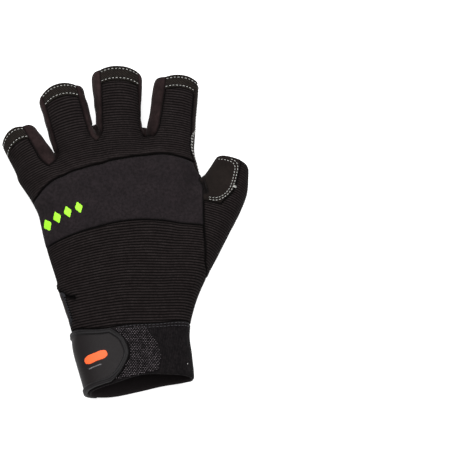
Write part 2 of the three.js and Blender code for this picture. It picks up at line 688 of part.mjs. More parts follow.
// The layers on the palm are cut by their outlines from sheets that lie parallel to it.
const manifold = (vertProperties, triVerts) =>
  new wasm.Manifold(new wasm.Mesh({ numProp: 3, vertProperties, triVerts }));
const asSolid = ({ points, faces }) =>
  manifold(Float32Array.from(points.flatMap((p) => [p.x, p.y, p.z])), Uint32Array.from(faces.flat()));
function prism(outline, count) {
  const curve = new THREE.CatmullRomCurve3(outline.map(([x, y]) => vec(x, y, 0)), true, "centripetal");
  const ring = curve.getSpacedPoints(count).slice(0, -1).map(({ x, y }) => new THREE.Vector2(x, y));
  const block = new THREE.ExtrudeGeometry(new THREE.Shape(ring), { depth: HIGHEST, bevelEnabled: false });
  block.translate(0, 0, -HIGHEST / 2);
  block.deleteAttribute("normal");
  block.deleteAttribute("uv");
  const welded = mergeVertices(block, CLOSE);
  return manifold(welded.getAttribute("position").array, welded.getIndex().array);
}
const threes = (list) => Array.from({ length: list.length / 3 }, (_, i) => [...list.slice(3 * i, 3 * i + 3)]);
function cutPiece(name, layer, outline, count) {
  const { vertProperties, triVerts } = layer.intersect(prism(outline, count)).getMesh();
  piece(name, { points: threes(vertProperties).map((p) => vec(...p)), faces: threes(triVerts) }, "layer");
}
const overlayLayer = asSolid(palm.solid(LAYER_GAP + OVERLAY, LAYER_GAP));
const padFloor = 2 * LAYER_GAP + OVERLAY;
const padLayer = asSolid(palm.solid(padFloor + PAD, padFloor, SEAM_INSET, 0));
cutPiece("palm_overlay", overlayLayer, OVERLAY_OUTLINE, OVERLAY_CORNERS);
for (const [name, outline] of Object.entries(PADS)) cutPiece(name, padLayer, outline, PAD_CORNERS);

group.position.set(-CENTRE[0], -CENTRE[1], 0);

export default group;
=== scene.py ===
"""The looks of a half-finger work glove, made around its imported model.

Tables and shapes are in millimetres in the frame of the model's source, whose point CENTRE is the origin
here. Each cloth piece is a closed wall grown from rows of points on one smooth hollow form, as in the model,
but fine enough to carry its ribs, rolled edges, folds and stitching.
"""

import math

import bpy
import numpy as np
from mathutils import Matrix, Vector, geometry, kdtree


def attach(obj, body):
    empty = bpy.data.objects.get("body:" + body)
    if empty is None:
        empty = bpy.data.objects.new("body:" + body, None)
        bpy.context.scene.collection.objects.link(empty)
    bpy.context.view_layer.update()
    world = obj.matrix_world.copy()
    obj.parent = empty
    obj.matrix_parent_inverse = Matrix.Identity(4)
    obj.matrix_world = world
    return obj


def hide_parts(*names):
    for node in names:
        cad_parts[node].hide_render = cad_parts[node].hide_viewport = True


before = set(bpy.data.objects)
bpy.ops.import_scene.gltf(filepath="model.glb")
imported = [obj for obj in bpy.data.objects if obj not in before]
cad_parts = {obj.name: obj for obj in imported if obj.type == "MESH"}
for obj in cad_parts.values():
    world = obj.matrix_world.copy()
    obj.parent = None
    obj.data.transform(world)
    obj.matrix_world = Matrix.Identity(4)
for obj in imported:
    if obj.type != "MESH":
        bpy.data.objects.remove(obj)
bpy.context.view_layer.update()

MM = 0.001
CENTRE = np.array([2.46, -0.5, 0.0])

# Walls of the model: how thick they are, and how high above the form they start
KNIT, FOAM, HEM, SUEDE, STRIP, CUFF = 1.3, 1.9, 1.6, 1.3, 1.1, 1.6
LAYER_GAP, OVERLAY = 0.4, 1.0
TAB_GAP, TAB = 0.7, 2.4

# The hollow form is a union of tubes, each with the foot and the lean of its axis. Rows: distance along the
# tube, its left and right sides, the height of its widest line, and how far it rises above and drops below it
SECTION_POWER = 2.5
FINGER_BLEND, HAND_BLEND, HAND_END = 2.0, 5.0, 54.0
TUBES = {
    "hand": ((0, 0), 0.0, [
        (-112, -14.6, 43, 11.5, 11, 10.6),
        (-92, -19.8, 42.9, 11.5, 11.3, 10.6),
        (-76, -24.2, 41.7, 11.5, 11.6, 10.4),
        (-62, -27.6, 40.3, 12, 12, 9.4),
        (-47, -32.1, 42.5, 12.5, 12.8, 9),
        (-38, -35, 43.9, 12.7, 13, 9),
        (-30, -36.6, 45, 12.8, 13.2, 9),
        (-11, -42.2, 46, 13, 13.4, 9.3),
        (7, -46.1, 46, 13, 13.4, 9.3),
        (24, -49.1, 48, 12.6, 12.6, 8.8),
        (40, -44, 44.6, 11.5, 11.4, 8),
        (54, -30, 38.8, 11, 10, 6),
    ]),
    "little": ((-45, 32), -27.0, [
        (-40, -3, 6, 12, 6, 4),
        (-14, -9.4, 10.5, 12, 10.6, 8.2),
        (-4, -10.9, 11.8, 11.6, 10.3, 8.3),
        (3, -11.6, 12.6, 11.2, 10, 8.5),
        (8, -11.8, 12.8, 11, 9.8, 8.8),
        (11, -11.1, 12.9, 10.8, 9.6, 9),
        (16, -10.7, 12.8, 10.6, 9.4, 9.3),
        (28, -10.4, 11.3, 10.2, 8.8, 9.2),
        (46, -10, 8, 10, 8.4, 9),
    ]),
    "ring": ((-27, 50), -15.0, [
        (-50, -6, 10, 12.5, 7, 5),
        (-20, -9.5, 13, 12.4, 12.2, 8.4),
        (0, -10.4, 14.6, 11.6, 11, 8.6),
        (16, -10.7, 14.6, 10.8, 9.8, 9.6),
        (36, -10.6, 15.1, 10.4, 9.2, 9.6),
        (52, -10, 14.6, 10.2, 9, 9.4),
    ]),
    "middle": ((0, 58), -3.5, [
        (-55, -8, 9, 12.5, 7, 5),
        (-22, -11.5, 12.5, 12.4, 12.8, 8.6),
        (0, -14.4, 13.6, 11.8, 11.4, 8.8),
        (14, -13, 12.2, 10.9, 10.2, 9.8),
        (38, -13.8, 14.2, 10.4, 9.6, 9.8),
        (54, -13.3, 14.4, 10.2, 9.4, 9.6),
    ]),
    "index": ((30, 55), 5.0, [
        (-55, -8, 8, 12.5, 7, 5),
        (-22, -11.5, 12.6, 12.4, 12.4, 8.6),
        (0, -15.6, 12.9, 11.6, 11, 8.7),
        (8, -15.2, 12.7, 11.3, 10.6, 9),
        (16, -14.3, 12.2, 10.9, 10, 9.7),
        (38, -13.4, 11.9, 10.4, 9.5, 9.7),
        (54, -13.2, 11.8, 10.2, 9.3, 9.6),
    ]),
    "thumb": ((37, -46), 16.5, [
        (-8, -16, 2, 12.5, 8, 6),
        (12, -17, 5.9, 12.6, 10.6, 8),
        (32, -17, 9.3, 12.8, 12, 8.8),
        (53, -15.4, 12.6, 12.8, 12.4, 9.4),
        (74, -12.6, 15.1, 12.6, 12, 9.8),
        (88, -9, 12.8, 12.4, 11, 9.8),
        (97, -6.6, 10.6, 12.4, 10.4, 9.6),
        (110, -6, 10.4, 12.2, 10, 9.4),
    ]),
}
LEFT, RIGHT, MID, RISE, DROP = range(1, 6)

# Rows across the back and the palm: places from the left side, at 0, to the seam on the thumb side, at 1, and
# how far toward the fingers the row lies there
ROWS = {
    "cuff_seam": [(0, -62.5), (0.08, -63.4), (0.25, -64.4), (0.5, -62.2), (0.75, -61), (1, -57.5)],
    "band_low": [(0, -11.5), (0.08, -9.1), (0.25, -4), (0.5, 1.4), (0.75, 2), (1, -1)],
    "band_top": [(0, 17.8), (0.035, 21.7), (0.073, 25.3), (0.13, 29.3), (0.2, 32.3), (0.3, 34.9),
                 (0.43, 39), (0.505, 40.1), (0.58, 41.5), (0.66, 43.5), (0.725, 44.1), (0.785, 44),
                 (0.84, 43.5), (0.91, 42.2), (0.97, 41.5), (1, 41.3)],
    "palm_seam": [(0, -62.5), (0.25, -62), (0.75, -62), (1, -57.5)],
    "palm_top": [(0, 17.8), (0.08, 24.4), (0.25, 31), (0.5, 37), (0.75, 40), (1, 41.3)],
    "lip": [(0, -101), (0.08, -99.9), (0.25, -97.5), (0.5, -93), (0.75, -92), (1, -91.5)],
    "lip_palm": [(0, -101), (0.08, -100.2), (0.25, -98.7), (0.5, -95.2), (0.75, -91.9), (1, -90.8)],
}

# The seam between the hand and the thumb: distance toward the fingers, and how far right it lies
THUMB_SEAM = [(-62, 40.3), (-47, 42.5), (-31, 48.1), (-20, 49.6), (0, 48.6), (33, 47.6), (39, 45.2),
              (45, 43.3), (56, 42.6)]
APEX, WEB = -31.0, 33.0
SEAM_RISE = 9.0

# How far the palm shows on the back, beside the wrist and beside the index finger, where it shows along the
# wrist, and two limits below which it doesn't count
PEEK, SIDE_PEEK = 1.7, 1.9
WRIST_SHOWS = (-61.0, -37.4)
LEAST_PEEK, SEEN_PEEK = 0.01, 0.05

# Where two fingers part: the tip of the V on the back, the fold between them, and the tip of the V in front
CROTCHES = [
    {"back": (-41.3, 38.4), "fold": (-38.2, 50.2), "front": (-40.2, 42.4)},
    {"back": (-13.8, 54), "fold": (-16.4, 66.8), "front": (-15.4, 58.4)},
    {"back": (19.6, 56.8), "fold": (15.8, 66), "front": (15.6, 59.6)},
]

# Each finger: its tip along its tube and how much further its left and right corners lie, the length of its
# hem, the bow of its rows, its root where no finger is beside it, and how far across its left and right seams
# lie on the back and in front, at the root and at the hem. None is the finger's own side.
FINGERS = [
    {"name": "little", "tip": 33.8, "skew": (-2.2, 0), "hem": 8.4, "arch": 2.4, "root": (-54, 26.5),
     "back": (None, (3.8, 3.7)), "front": (None, (8.6, 7.6))},
    {"name": "ring", "tip": 36.8, "skew": (1.6, 1.8), "hem": 7.8, "arch": 3,
     "back": ((-9.5, -8.9), (11.4, 11.2)), "front": ((-8.4, -8.8), (12.4, 13))},
    {"name": "middle", "tip": 40.3, "skew": (2, 0), "hem": 8.6, "arch": 2.2,
     "back": ((-10.6, -9.3), (11.6, 12.4)), "front": ((-11.2, -11.4), (11.4, 12.4))},
    {"name": "index", "tip": 38.3, "skew": (1.2, 0.8), "hem": 7.8, "arch": 1.9, "root": (42.8, 51),
     "back": ((-8.6, -6.9), None), "front": ((-12, -11.2), None)},
]

# Where the fingers part on the band's upper edge, and what share of the bow the root and the front have
LANE_PLACES = [0, 0.15, 0.374, 0.696, 1]
ROOT_ARCH, FRONT_ARCH = 0.4, 0.3

# Where the hem starts, how long the V between two fingers is, and how much of a strip its fold takes
HEM_START, V_LENGTH, FOLD_SHARE = 0.86, 8.0, 0.25

# Places along the thumb, and the angles of its section at which the suede ends on the back and in front
THUMB = {"gusset": 17.5, "front": 20.5, "open": 16.0, "settle": 8.0, "wrap": 62.3, "tip": 93.0,
         "edge": 64.0, "fold": -32.0}
CORNER_TURN, CORNER_LENGTH = 14.0, 12.0

# Rows: share of the way from the lip to the cuff seam, and where on the cuff's width the tab and patch end
CLOSURE = [
    (0, 0.2, 0.66),
    (0.1, 0.31, 0.7),
    (0.25, 0.39, 0.73),
    (0.42, 0.44, 0.735),
    (0.6, 0.44, 0.71),
    (0.8, 0.405, 0.67),
    (1, 0.31, 0.62),
]

# How far the tab reaches under the hand, the gap between it and the patch, and from where to where each goes
TAB_UNDER, PATCH_GAP = 0.09, 0.008
TAB_ROWS, PATCH_ROWS = (0.02, 0.97), (0.04, 0.95)

# Outlines on the palm, seen from above through the hand
OVERLAY_OUTLINE = [
    (-50, 30), (-46, 35), (-39.5, 37), (-33, 43), (-25, 49.4), (-19, 50), (-13.5, 49), (-6, 51), (2, 54.5),
    (8, 54), (15, 49.5), (23, 49.5), (31, 50.5), (37.5, 47), (40, 39), (38.5, 28.5), (31, 25.5), (0, 24),
    (-20, 22), (-27, 17.5), (-30, 9.5), (-29.4, 1.5), (-26, -6.5), (-19.5, -13.5), (-11, -16.6),
    (-3.5, -15.4), (2.2, -11), (4.4, -4.6), (1.6, 1.2), (-5.5, 3.8), (-12, 6), (-14.6, 10.6),
    (-11.6, 15.4), (-4, 17.4), (9, 17.8), (24, 17.4), (30.5, 13.8), (32.8, 7), (30, -2.5), (23, -15.5),
    (14.5, -26.5), (5, -34), (-6, -38.5), (-17, -38.8), (-26, -34.8), (-33, -26.8), (-37.4, -16),
    (-41.2, -5), (-44, 6), (-46.5, 17),
]
PADS = {
    "pad_knuckle_ulnar": [
        (-46.6, 29.5), (-44, 32.6), (-38, 33.6), (-32, 38.6), (-25, 45), (-18.5, 46), (-12.5, 44),
        (-10.4, 38), (-12, 31), (-18, 27.6), (-31, 25.6), (-44, 24.6),
    ],
    "pad_knuckle_radial": [
        (-3, 36), (-1.8, 44), (2.8, 49.4), (7.6, 48.8), (14, 44.8), (22.4, 44.8), (30, 46.2), (35, 43.4),
        (36, 36.4), (34, 31), (26, 29.2), (6, 28), (-1, 29.8),
    ],
    "pad_heel": [
        (-42.8, 15), (-40.8, 18.8), (-36.4, 18.8), (-34.2, 15), (-33.8, 6), (-32.4, -2), (-28.6, -9.6),
        (-22.4, -16.6), (-17.4, -22.6), (-14.4, -28.4), (-16, -33.4), (-21.4, -33.8), (-28, -29.8),
        (-33.2, -21.8), (-37, -11), (-40.2, 1), (-42.2, 9),
    ],
    "pad_thenar": [
        (6, 9), (8.4, 13), (13.6, 14.2), (21, 13.6), (26.6, 10.6), (28.4, 5.5), (26.6, -1.4),
        (21.6, -10.4), (15, -20), (9, -27), (2.6, -31.6), (-4, -33.6), (-8, -31), (-7.6, -26.4),
        (-3, -20.6), (4.6, -14.2), (8.6, -7.6), (8.4, 0), (6.8, 5),
    ],
}

# Pitch and height of the ribs
BACK_RIB, FINGER_RIB, THUMB_RIB = 1.72, 1.46, 1.44
RIB_HEIGHT = 0.34

# Radius of the threads, pitch and length of the stitches, and points along and round each
THREAD, DARK_THREAD, THICK_THREAD = 0.2, 0.16, 0.26
HEM_STITCH, PALM_STITCH, CUFF_STITCH = (2.1, 1.3), (1.9, 1.2), (2.2, 1.7)
TACK_STITCH, END_STITCH = (3.0, 2.7), (1.0, 0.7)
STITCH_RINGS, STITCH_SIDES = 6, 6

# Numbers of the solving: how close is close enough, how far a point may jump at once, how flat a slope may
# count and how often it is tried
CLOSE, FURTHEST, FLATTEST, TURNS = 1e-4, 3.0, 0.3, 9

# Between which heights a surface is looked for, how often that stretch is halved, and how far before and past
# a guess two tubes may part
LOWEST, HIGHEST, HALVINGS = -25.0, 50.0, 22
NEAR_PARTING, PAST_PARTING = -12.0, 5.0

# Points for each stretch of a spline, welding steps in a millimetre, and what is left of a wall at its edge
CURVE_STEPS, WELD, EDGE_SHARE = 24, 200, 0.35

# Places of the steering points across a narrow piece and across a wide one
STEPS = np.array([0, 0.03, 0.12, 0.34, 0.66, 0.88, 0.97, 1])
WIDE_STEPS = np.array([0, 0.015, 0.04, 0.08, 0.13, 0.2, 0.28, 0.36, 0.44, 0.52, 0.6, 0.68, 0.76, 0.83, 0.89,
                       0.94, 0.975, 1])
THUMB_STEPS = np.array([0.08, 0.35, 0.7])


def mix(a, b, t):
    return a + (b - a) * t


def ease(t):
    t = np.clip(t, 0, 1)
    return t * t * (3 - 2 * t)


def read(rows, at, column):
    """A cubic through the rows of a table, held level past both ends."""
    table = np.asarray(rows, float)
    keys, values = table[:, 0], table[:, column]
    last = len(keys) - 1
    at = np.clip(np.asarray(at, float), keys[0], keys[-1])
    i = np.clip(np.searchsorted(keys, at, side="left") - 1, 0, last - 1)
    before, after = np.maximum(i - 1, 0), np.minimum(i + 2, last)
    span = keys[i + 1] - keys[i]
    t = (at - keys[i]) / span
    m0 = (values[i + 1] - values[before]) / (keys[i + 1] - keys[before]) * span
    m1 = (values[after] - values[i]) / (keys[after] - keys[i]) * span
    p0, p1 = values[i], values[i + 1]
    return p0 + t * (m0 + t * (3 * (p1 - p0) - 2 * m0 - m1 + t * (2 * (p0 - p1) + m0 + m1)))


def read_row(row, place):
    """How far toward the fingers a row lies at places of the hand's width."""
    return read(np.stack([PLACES, row], 1), place, 1)


PLACES = np.linspace(0, 1, 51)
CUFF_SEAM, BAND_LOW, BAND_TOP, PALM_SEAM, PALM_TOP, CUFF_LIP, CUFF_LIP_PALM = (
    read(row, PLACES, 1) for row in ROWS.values())


# The form


def axes_of(name):
    lean = math.radians(TUBES[name][1])
    return (math.sin(lean), math.cos(lean)), (math.cos(lean), -math.sin(lean))


def to_tube(name, x, y):
    """How far along and across a tube points of the plan lie."""
    along, side = axes_of(name)
    dx, dy = x - TUBES[name][0][0], y - TUBES[name][0][1]
    return dx * along[0] + dy * along[1], dx * side[0] + dy * side[1]


def from_tube(name, along, across):
    """The points of the plan so far along and across a tube."""
    a, s = axes_of(name)
    base = TUBES[name][0]
    return base[0] + along * a[0] + across * s[0], base[1] + along * a[1] + across * s[1]


def on_tube(name, along, degrees):
    """The point of a tube's section at an angle: 0 is its right side, 90 its top, 180 its left side."""
    rows = TUBES[name][2]
    left, right = read(rows, along, LEFT), read(rows, along, RIGHT)
    turn = np.radians(degrees)
    out, up = (np.sign(c) * np.abs(c) ** (2 / SECTION_POWER) for c in (np.cos(turn), np.sin(turn)))
    x, y = from_tube(name, along, (left + right) / 2 + (right - left) / 2 * out)
    z = read(rows, along, MID) + up * np.where(up > 0, read(rows, along, RISE), read(rows, along, DROP))
    return np.stack(np.broadcast_arrays(x, y, z), -1)


def tube_distance(name, p):
    """About how far points are from one tube, negative inside."""
    along, across = to_tube(name, p[..., 0], p[..., 1])
    rows = TUBES[name][2]
    left, right, mid, rise, drop = (read(rows, along, column) for column in (LEFT, RIGHT, MID, RISE, DROP))
    half = (right - left) / 2
    tall = np.where(p[..., 2] > mid, rise, drop)
    a = np.abs(across - (left + right) / 2) / half + CLOSE
    b = np.abs(p[..., 2] - mid) / tall + CLOSE
    r = (a**SECTION_POWER + b**SECTION_POWER) ** (1 / SECTION_POWER)
    lower = SECTION_POWER - 1
    return (r - 1) / np.hypot((a / r) ** lower / half, (b / r) ** lower / tall)


def join(a, b, blend):
    """Joins two distances with a fillet."""
    near = np.maximum(blend - np.abs(a - b), 0)
    return np.minimum(a, b) - near * near / (4 * blend)


def distance(p):
    """How far points are from the form, negative inside."""
    fingers = tube_distance(FINGERS[0]["name"], p)
    for finger in FINGERS[1:]:
        fingers = join(fingers, tube_distance(finger["name"], p), FINGER_BLEND)
    hand = np.maximum(tube_distance("hand", p), p[..., 1] - HAND_END)
    return join(join(hand, fingers, HAND_BLEND), tube_distance("thumb", p), HAND_BLEND)


def slope(p):
    step = 0.02
    out = np.empty_like(p)
    for axis in range(3):
        shift = np.zeros(3)
        shift[axis] = step
        out[..., axis] = (distance(p + shift) - distance(p - shift)) / (2 * step)
    return out


def unit(v):
    return v / np.maximum(np.linalg.norm(v, axis=-1, keepdims=True), 1e-9)


def settle(guess):
    """Moves guessed points straight onto the form."""
    p = np.array(guess, float)
    for _ in range(TURNS):
        d = distance(p)
        if np.abs(d).max() < CLOSE:
            break
        g = slope(p)
        stride = -np.clip(d, -FURTHEST, FURTHEST) / np.maximum((g * g).sum(-1), FLATTEST)
        p += g * stride[..., None]
    return p


def leaving(at, inside, outside):
    """Where lines leave the form: at(t) is inside at the first value and outside at the last."""
    low, high = np.array(inside, float), np.array(outside, float)
    for _ in range(HALVINGS):
        half = (low + high) / 2
        out = distance(at(half)) > 0
        high, low = np.where(out, half, high), np.where(out, low, half)
    return at(low)


def hand_side(x, y):
    """Points over the plan at the height where the hand is widest."""
    x, y = np.broadcast_arrays(np.asarray(x, float), np.asarray(y, float))
    return np.stack([x, y, read(TUBES["hand"][2], y, MID)], -1)


def surface(x, y, underside):
    """The form's surface over points of the plan, on top or underneath."""
    middle = hand_side(x, y)
    at = lambda z: np.stack([middle[..., 0], middle[..., 1], z], -1)
    end = np.full(middle.shape[:-1], LOWEST if underside else HIGHEST)
    found = leaving(at, middle[..., 2], end)
    return np.where((distance(middle) > 0)[..., None], middle, found)


def parting(point, lean):
    """Where the form ends between two tubes: near a point, along a line that leans as the gap does."""
    turn = math.radians(lean)
    at = lambda t: hand_side(point[0] + t * math.sin(turn), point[1] + t * math.cos(turn))
    return leaving(at, NEAR_PARTING, PAST_PARTING)


def lengths_along(points):
    """How far along its line each point lies, for one line or for several."""
    steps = np.linalg.norm(np.diff(points, axis=-2), axis=-1)
    return np.concatenate([np.zeros_like(steps[..., :1]), np.cumsum(steps, -1)], -1)


def sample(points, lengths, at):
    """The points of a line at given lengths along it."""
    return np.stack([np.interp(at, lengths, points[:, k]) for k in range(3)], -1)


def curve(controls, count, crowd=0.0, closed=False):
    """Rows of points on splines through rows of controls, evenly spaced or crowded toward both ends."""
    c = np.asarray(controls, float)
    if closed:
        c = np.concatenate([c[:, -1:], c, c[:, :2]], 1)
    else:
        c = np.concatenate([2 * c[:, :1] - c[:, 1:2], c, 2 * c[:, -1:] - c[:, -2:-1]], 1)
    p0, p1, p2, p3 = c[:, :-3], c[:, 1:-2], c[:, 2:-1], c[:, 3:]
    gap = lambda a, b: np.maximum(np.linalg.norm(a - b, axis=-1, keepdims=True), 1e-6) ** 0.5
    d0, d1, d2 = gap(p0, p1), gap(p1, p2), gap(p2, p3)
    m1 = ((p1 - p0) / d0 - (p2 - p0) / (d0 + d1) + (p2 - p1) / d1) * d1
    m2 = ((p2 - p1) / d1 - (p3 - p1) / (d1 + d2) + (p3 - p2) / d2) * d1
    t = np.linspace(0, 1, CURVE_STEPS + 1)[:-1][None, None, :, None]
    a, b, m, n = (q[:, :, None, :] for q in (p1, p2, m1, m2))
    points = a + t * (m + t * (3 * (b - a) - 2 * m - n + t * (2 * (a - b) + m + n)))
    points = np.concatenate([points.reshape(len(c), -1, 3), p2[:, -1:]], 1)
    s = np.linspace(0, 1, count + 1)
    s = s - crowd * np.sin(2 * np.pi * s) / (2 * np.pi)
    lines = zip(points, lengths_along(points))
    return np.array([sample(line, lengths, s * lengths[-1]) for line, lengths in lines])


def refine(rows, count):
    """Cubic resampling of rows of points to count steps."""
    last = len(rows) - 1
    at = np.linspace(0, last, count + 1)
    i = np.clip(at.astype(int), 0, last - 1)
    t = (at - i).reshape(-1, *([1] * (rows.ndim - 1)))
    p1, p2 = rows[i], rows[i + 1]
    m1 = (p2 - rows[np.maximum(i - 1, 0)]) * np.where(i > 0, 0.5, 1).reshape(t.shape)
    m2 = (rows[np.minimum(i + 2, last)] - p1) * np.where(i < last - 1, 0.5, 1).reshape(t.shape)
    return p1 + t * (m1 + t * (3 * (p2 - p1) - 2 * m1 - m2 + t * (2 * (p1 - p2) + m1 + m2)))


# Rows of points that steer the pieces


def seam_x(y):
    return read(THUMB_SEAM, y, 1)


def thumb_seam(y, underside):
    """The seam round the root of the thumb. It opens from its lower tip and closes again at the web."""
    x = seam_x(y)
    face, middle = surface(x, y, underside), hand_side(x, y)
    opened = ease((y - APEX) / SEAM_RISE) * ease((WEB - y) / SEAM_RISE)
    return settle(mix(middle, face, opened[..., None]))


def drawn_back(x, y, share, width):
    """A line down the hand's side, drawn back onto the back of the hand by a share of a width."""
    middle, back = hand_side(x, y), abs(width) * share
    face = surface(middle[..., 0] + np.sign(width) * np.maximum(back, LEAST_PEEK), y, False)
    drawn = settle(mix(middle, face, ease(share)[:, None]))
    return np.where((back > SEEN_PEEK)[:, None], drawn, middle)


def left_seam(y):
    """The seam on the little-finger side. Over the wrist it draws back, so that the palm shows beside it."""
    share = ease((y - WRIST_SHOWS[0]) / 5) * ease((WRIST_SHOWS[1] - y) / 3)
    return drawn_back(read(TUBES["hand"][2], y, LEFT), y, share, PEEK)


def right_seam(y):
    """Above the thumb's web the palm reaches onto the back, beside the index finger's knuckle."""
    return drawn_back(seam_x(y), y, ease((y - WEB) / 5), -SIDE_PEEK)


def hand_rows(values, underside, start=0.0, end=1.0):
    """Rows across the hand, one for each row of values, between two places of its width."""
    values = np.atleast_2d(values)
    last = values[:, -1]
    left = read(TUBES["hand"][2], values[:, 0], LEFT)[:, None]
    right = seam_x(last)[:, None]
    place = mix(start, end, WIDE_STEPS if end - start > 0.5 else STEPS)
    y = np.array([read_row(row, place) for row in values])
    x = mix(left, right, place[None, :])
    points = surface(x, y, underside)
    sides = hand_side(x, y)
    if start == 0:
        points[:, 0] = left_seam(y[:, 0])
    if end == 1:
        inner = (last > APEX) & (last < WEB)
        points[:, -1] = np.where(inner[:, None], thumb_seam(last, underside), right_seam(last))
        if underside:
            points[:, -2] = np.where((last > WEB)[:, None], sides[:, -1], points[:, -2])
    return points


def lane_edge(finger, right, t, underside):
    """Along and across a finger, one side of its back or of its front, and whether that side has no seam."""
    name, hem = finger["name"], finger["hem"]
    tip = finger["tip"] + finger["skew"][1 if right else 0]
    seam = finger["front" if underside else "back"][1 if right else 0]
    number = FINGERS.index(finger) - (0 if right else 1)
    if 0 <= number < len(CROTCHES):
        start = CROTCHES[number]["front" if underside else "back"]
    else:
        start = finger["root"]
    along0, side0 = to_tube(name, *start)
    low = np.minimum(t / HEM_START, 1)
    high = np.maximum((t - HEM_START) / (1 - HEM_START), 0)
    along = mix(along0, tip - hem, low) + hem * high
    own = read(TUBES[name][2], along, RIGHT if right else LEFT)
    away = np.minimum(1, (along - along0) / V_LENGTH)
    across = mix(side0, mix(seam[0], seam[1], low) if seam else own, away * (2 - away))
    return along, across, seam is None


def lane_rows(finger, t, underside):
    """Rows across a finger, from the tip of its V, at t = 0, to its end, at t = 1. Its hem comes last."""
    t = np.atleast_1d(t)
    a, a_across, a_open = lane_edge(finger, False, t, underside)
    b, b_across, b_open = lane_edge(finger, True, t, underside)
    arch = finger["arch"] * (FRONT_ARCH if underside else 1) * mix(ROOT_ARCH, 1, t)
    s = STEPS[None, :]
    along = mix(a[:, None], b[:, None], s) + arch[:, None] * (1 - (2 * s - 1) ** 2)
    x, y = from_tube(finger["name"], along, mix(a_across[:, None], b_across[:, None], s))
    points = surface(x, y, underside)
    mids = read(TUBES[finger["name"]][2], along, MID)
    if a_open:
        points[:, 0, 2] = mids[:, 0]
    if b_open:
        side = np.stack([x[:, -1], y[:, -1], mids[:, -1]], -1)
        points[:, -1] = surface(*from_tube(finger["name"], along[:, -1], b_across - SIDE_PEEK), False)
        if underside:
            points[:, -2] = side
    return points


def root_rows(finger, values, t, underside):
    """Rows from the band's upper edge, at t = 0, to the lane's first row, at t = 1."""
    number = FINGERS.index(finger)
    low = hand_rows(values, underside, LANE_PLACES[number], LANE_PLACES[number + 1])[0]
    high = lane_rows(finger, 0.0, underside)[0]
    mixed = mix(low[None], high[None], np.atleast_1d(t)[:, None, None])
    points = surface(mixed[..., 0], mixed[..., 1], underside)
    if number == 0:
        points[:, 0] = mixed[:, 0]
    if number == len(FINGERS) - 1:
        points[:, -1] = mixed[:, -1]
        if underside:
            points[:, -2] = mixed[:, -2]
    return points


def strip_rows(finger, right, t, fold):
    """Rows round the side of a finger, from its back seam over the strip's middle to its front seam."""
    edges = []
    for underside in (False, True):
        along, across, _ = lane_edge(finger, right, t, underside)
        edges.append(surface(*from_tube(finger["name"], along, across), underside))
    start = to_tube(finger["name"], fold[0], fold[1])[0]
    end = finger["tip"] + finger["skew"][1 if right else 0]
    own = on_tube(finger["name"], mix(start, end, t), 0.0 if right else 180.0)
    middle = settle(mix(fold, own, np.minimum(1, t / FOLD_SHARE)[:, None]))
    back, front = edges
    half = lambda a, b: settle((a + b) / 2)
    return np.stack([back, half(back, middle), middle, half(middle, front), front], 1)


web_point = parting((seam_x(WEB), WEB), TUBES["thumb"][1] / 2)
web_along = to_tube("thumb", web_point[0], web_point[1])[0]


def inner_points(along, underside):
    """The thumb's inner edge: the seam round its root up to the web, then its own inner side."""
    y = mix(APEX, WEB, np.clip((along - THUMB["gusset"]) / (web_along - THUMB["gusset"]), 0, 1))
    seam = thumb_seam(y, underside)
    t = np.clip((along - web_along) / THUMB["settle"], 0, 1)[:, None]
    own = settle(mix(web_point, on_tube("thumb", along, 180.0), t))
    return np.where((along < web_along)[:, None], seam, own)


def knit_edge(along, degrees):
    """The knit opens out from nothing at the tip of the gusset."""
    return on_tube("thumb", along, degrees * np.clip((along - THUMB["gusset"]) / THUMB["open"], 0, 1))


def wrap_edge(along):
    """The angle at which the suede ends on the back of the thumb. It draws back at the lower corner."""
    return THUMB["edge"] + CORNER_TURN * ease((THUMB["wrap"] + CORNER_LENGTH - along) / CORNER_LENGTH)


def thumb_rows(along, underside):
    """Rows from the thumb's inner edge to where the suede ends, on its back or in front."""
    along = np.atleast_1d(along)
    a = inner_points(along, underside)
    b = knit_edge(along, THUMB["fold"] if underside else wrap_edge(along))
    x, y = (mix(a[:, None, k], b[:, None, k], THUMB_STEPS[None, :]) for k in (0, 1))
    rows = np.concatenate([a[:, None], surface(x, y, underside), b[:, None]], 1)
    return rows[:, ::-1] if underside else rows


def outer_rows(along):
    """Rows round the thumb's outer side, between the two ends of the suede."""
    along = np.atleast_1d(along)
    turns = [mix(wrap_edge(along), THUMB["fold"], t) for t in np.linspace(0, 1, 5)]
    return np.stack([knit_edge(along, turn) for turn in turns], 1)


def between_rows(low, high):
    """Rows across the hand from a low row, at v = 0, to a high one, at v = 1."""
    return lambda v, underside, start=0.0, end=1.0: hand_rows(
        mix(low[None], high[None], np.atleast_1d(v)[:, None]), underside, start, end)


cuff_back, cuff_front = between_rows(CUFF_LIP, CUFF_SEAM), between_rows(CUFF_LIP_PALM, PALM_SEAM)


def cuff_rows(v):
    return np.concatenate([cuff_back(v, False), cuff_front(v, True)[:, ::-1][:, 1:-1]], 1)


def tab_rows(v):
    ends = read(CLOSURE, v, 1)
    back = np.concatenate([cuff_back(row, False, 0.0, end) for row, end in zip(v, ends)])
    return np.concatenate([cuff_front(v, True, 0.0, TAB_UNDER)[:, ::-1], back[:, 1:]], 1)


def patch_rows(v):
    starts, ends = read(CLOSURE, v, 1) + PATCH_GAP, read(CLOSURE, v, 2)
    return np.concatenate([cuff_back(row, False, a, b) for row, a, b in zip(v, starts, ends)])


# Small tools for relief


def hashed(cell, seed):
    """Repeatable numbers from 0 to 1 for whole cells of space."""
    n = cell[..., 0] * 374761393 + cell[..., 1] * 668265263 + cell[..., 2] * 1274126177 + seed * 69069
    n = (n ^ (n >> 13)) * 1103515245 & 0x7FFFFFFF
    return ((n ^ (n >> 16)) & 0xFFFF) / 65535.0


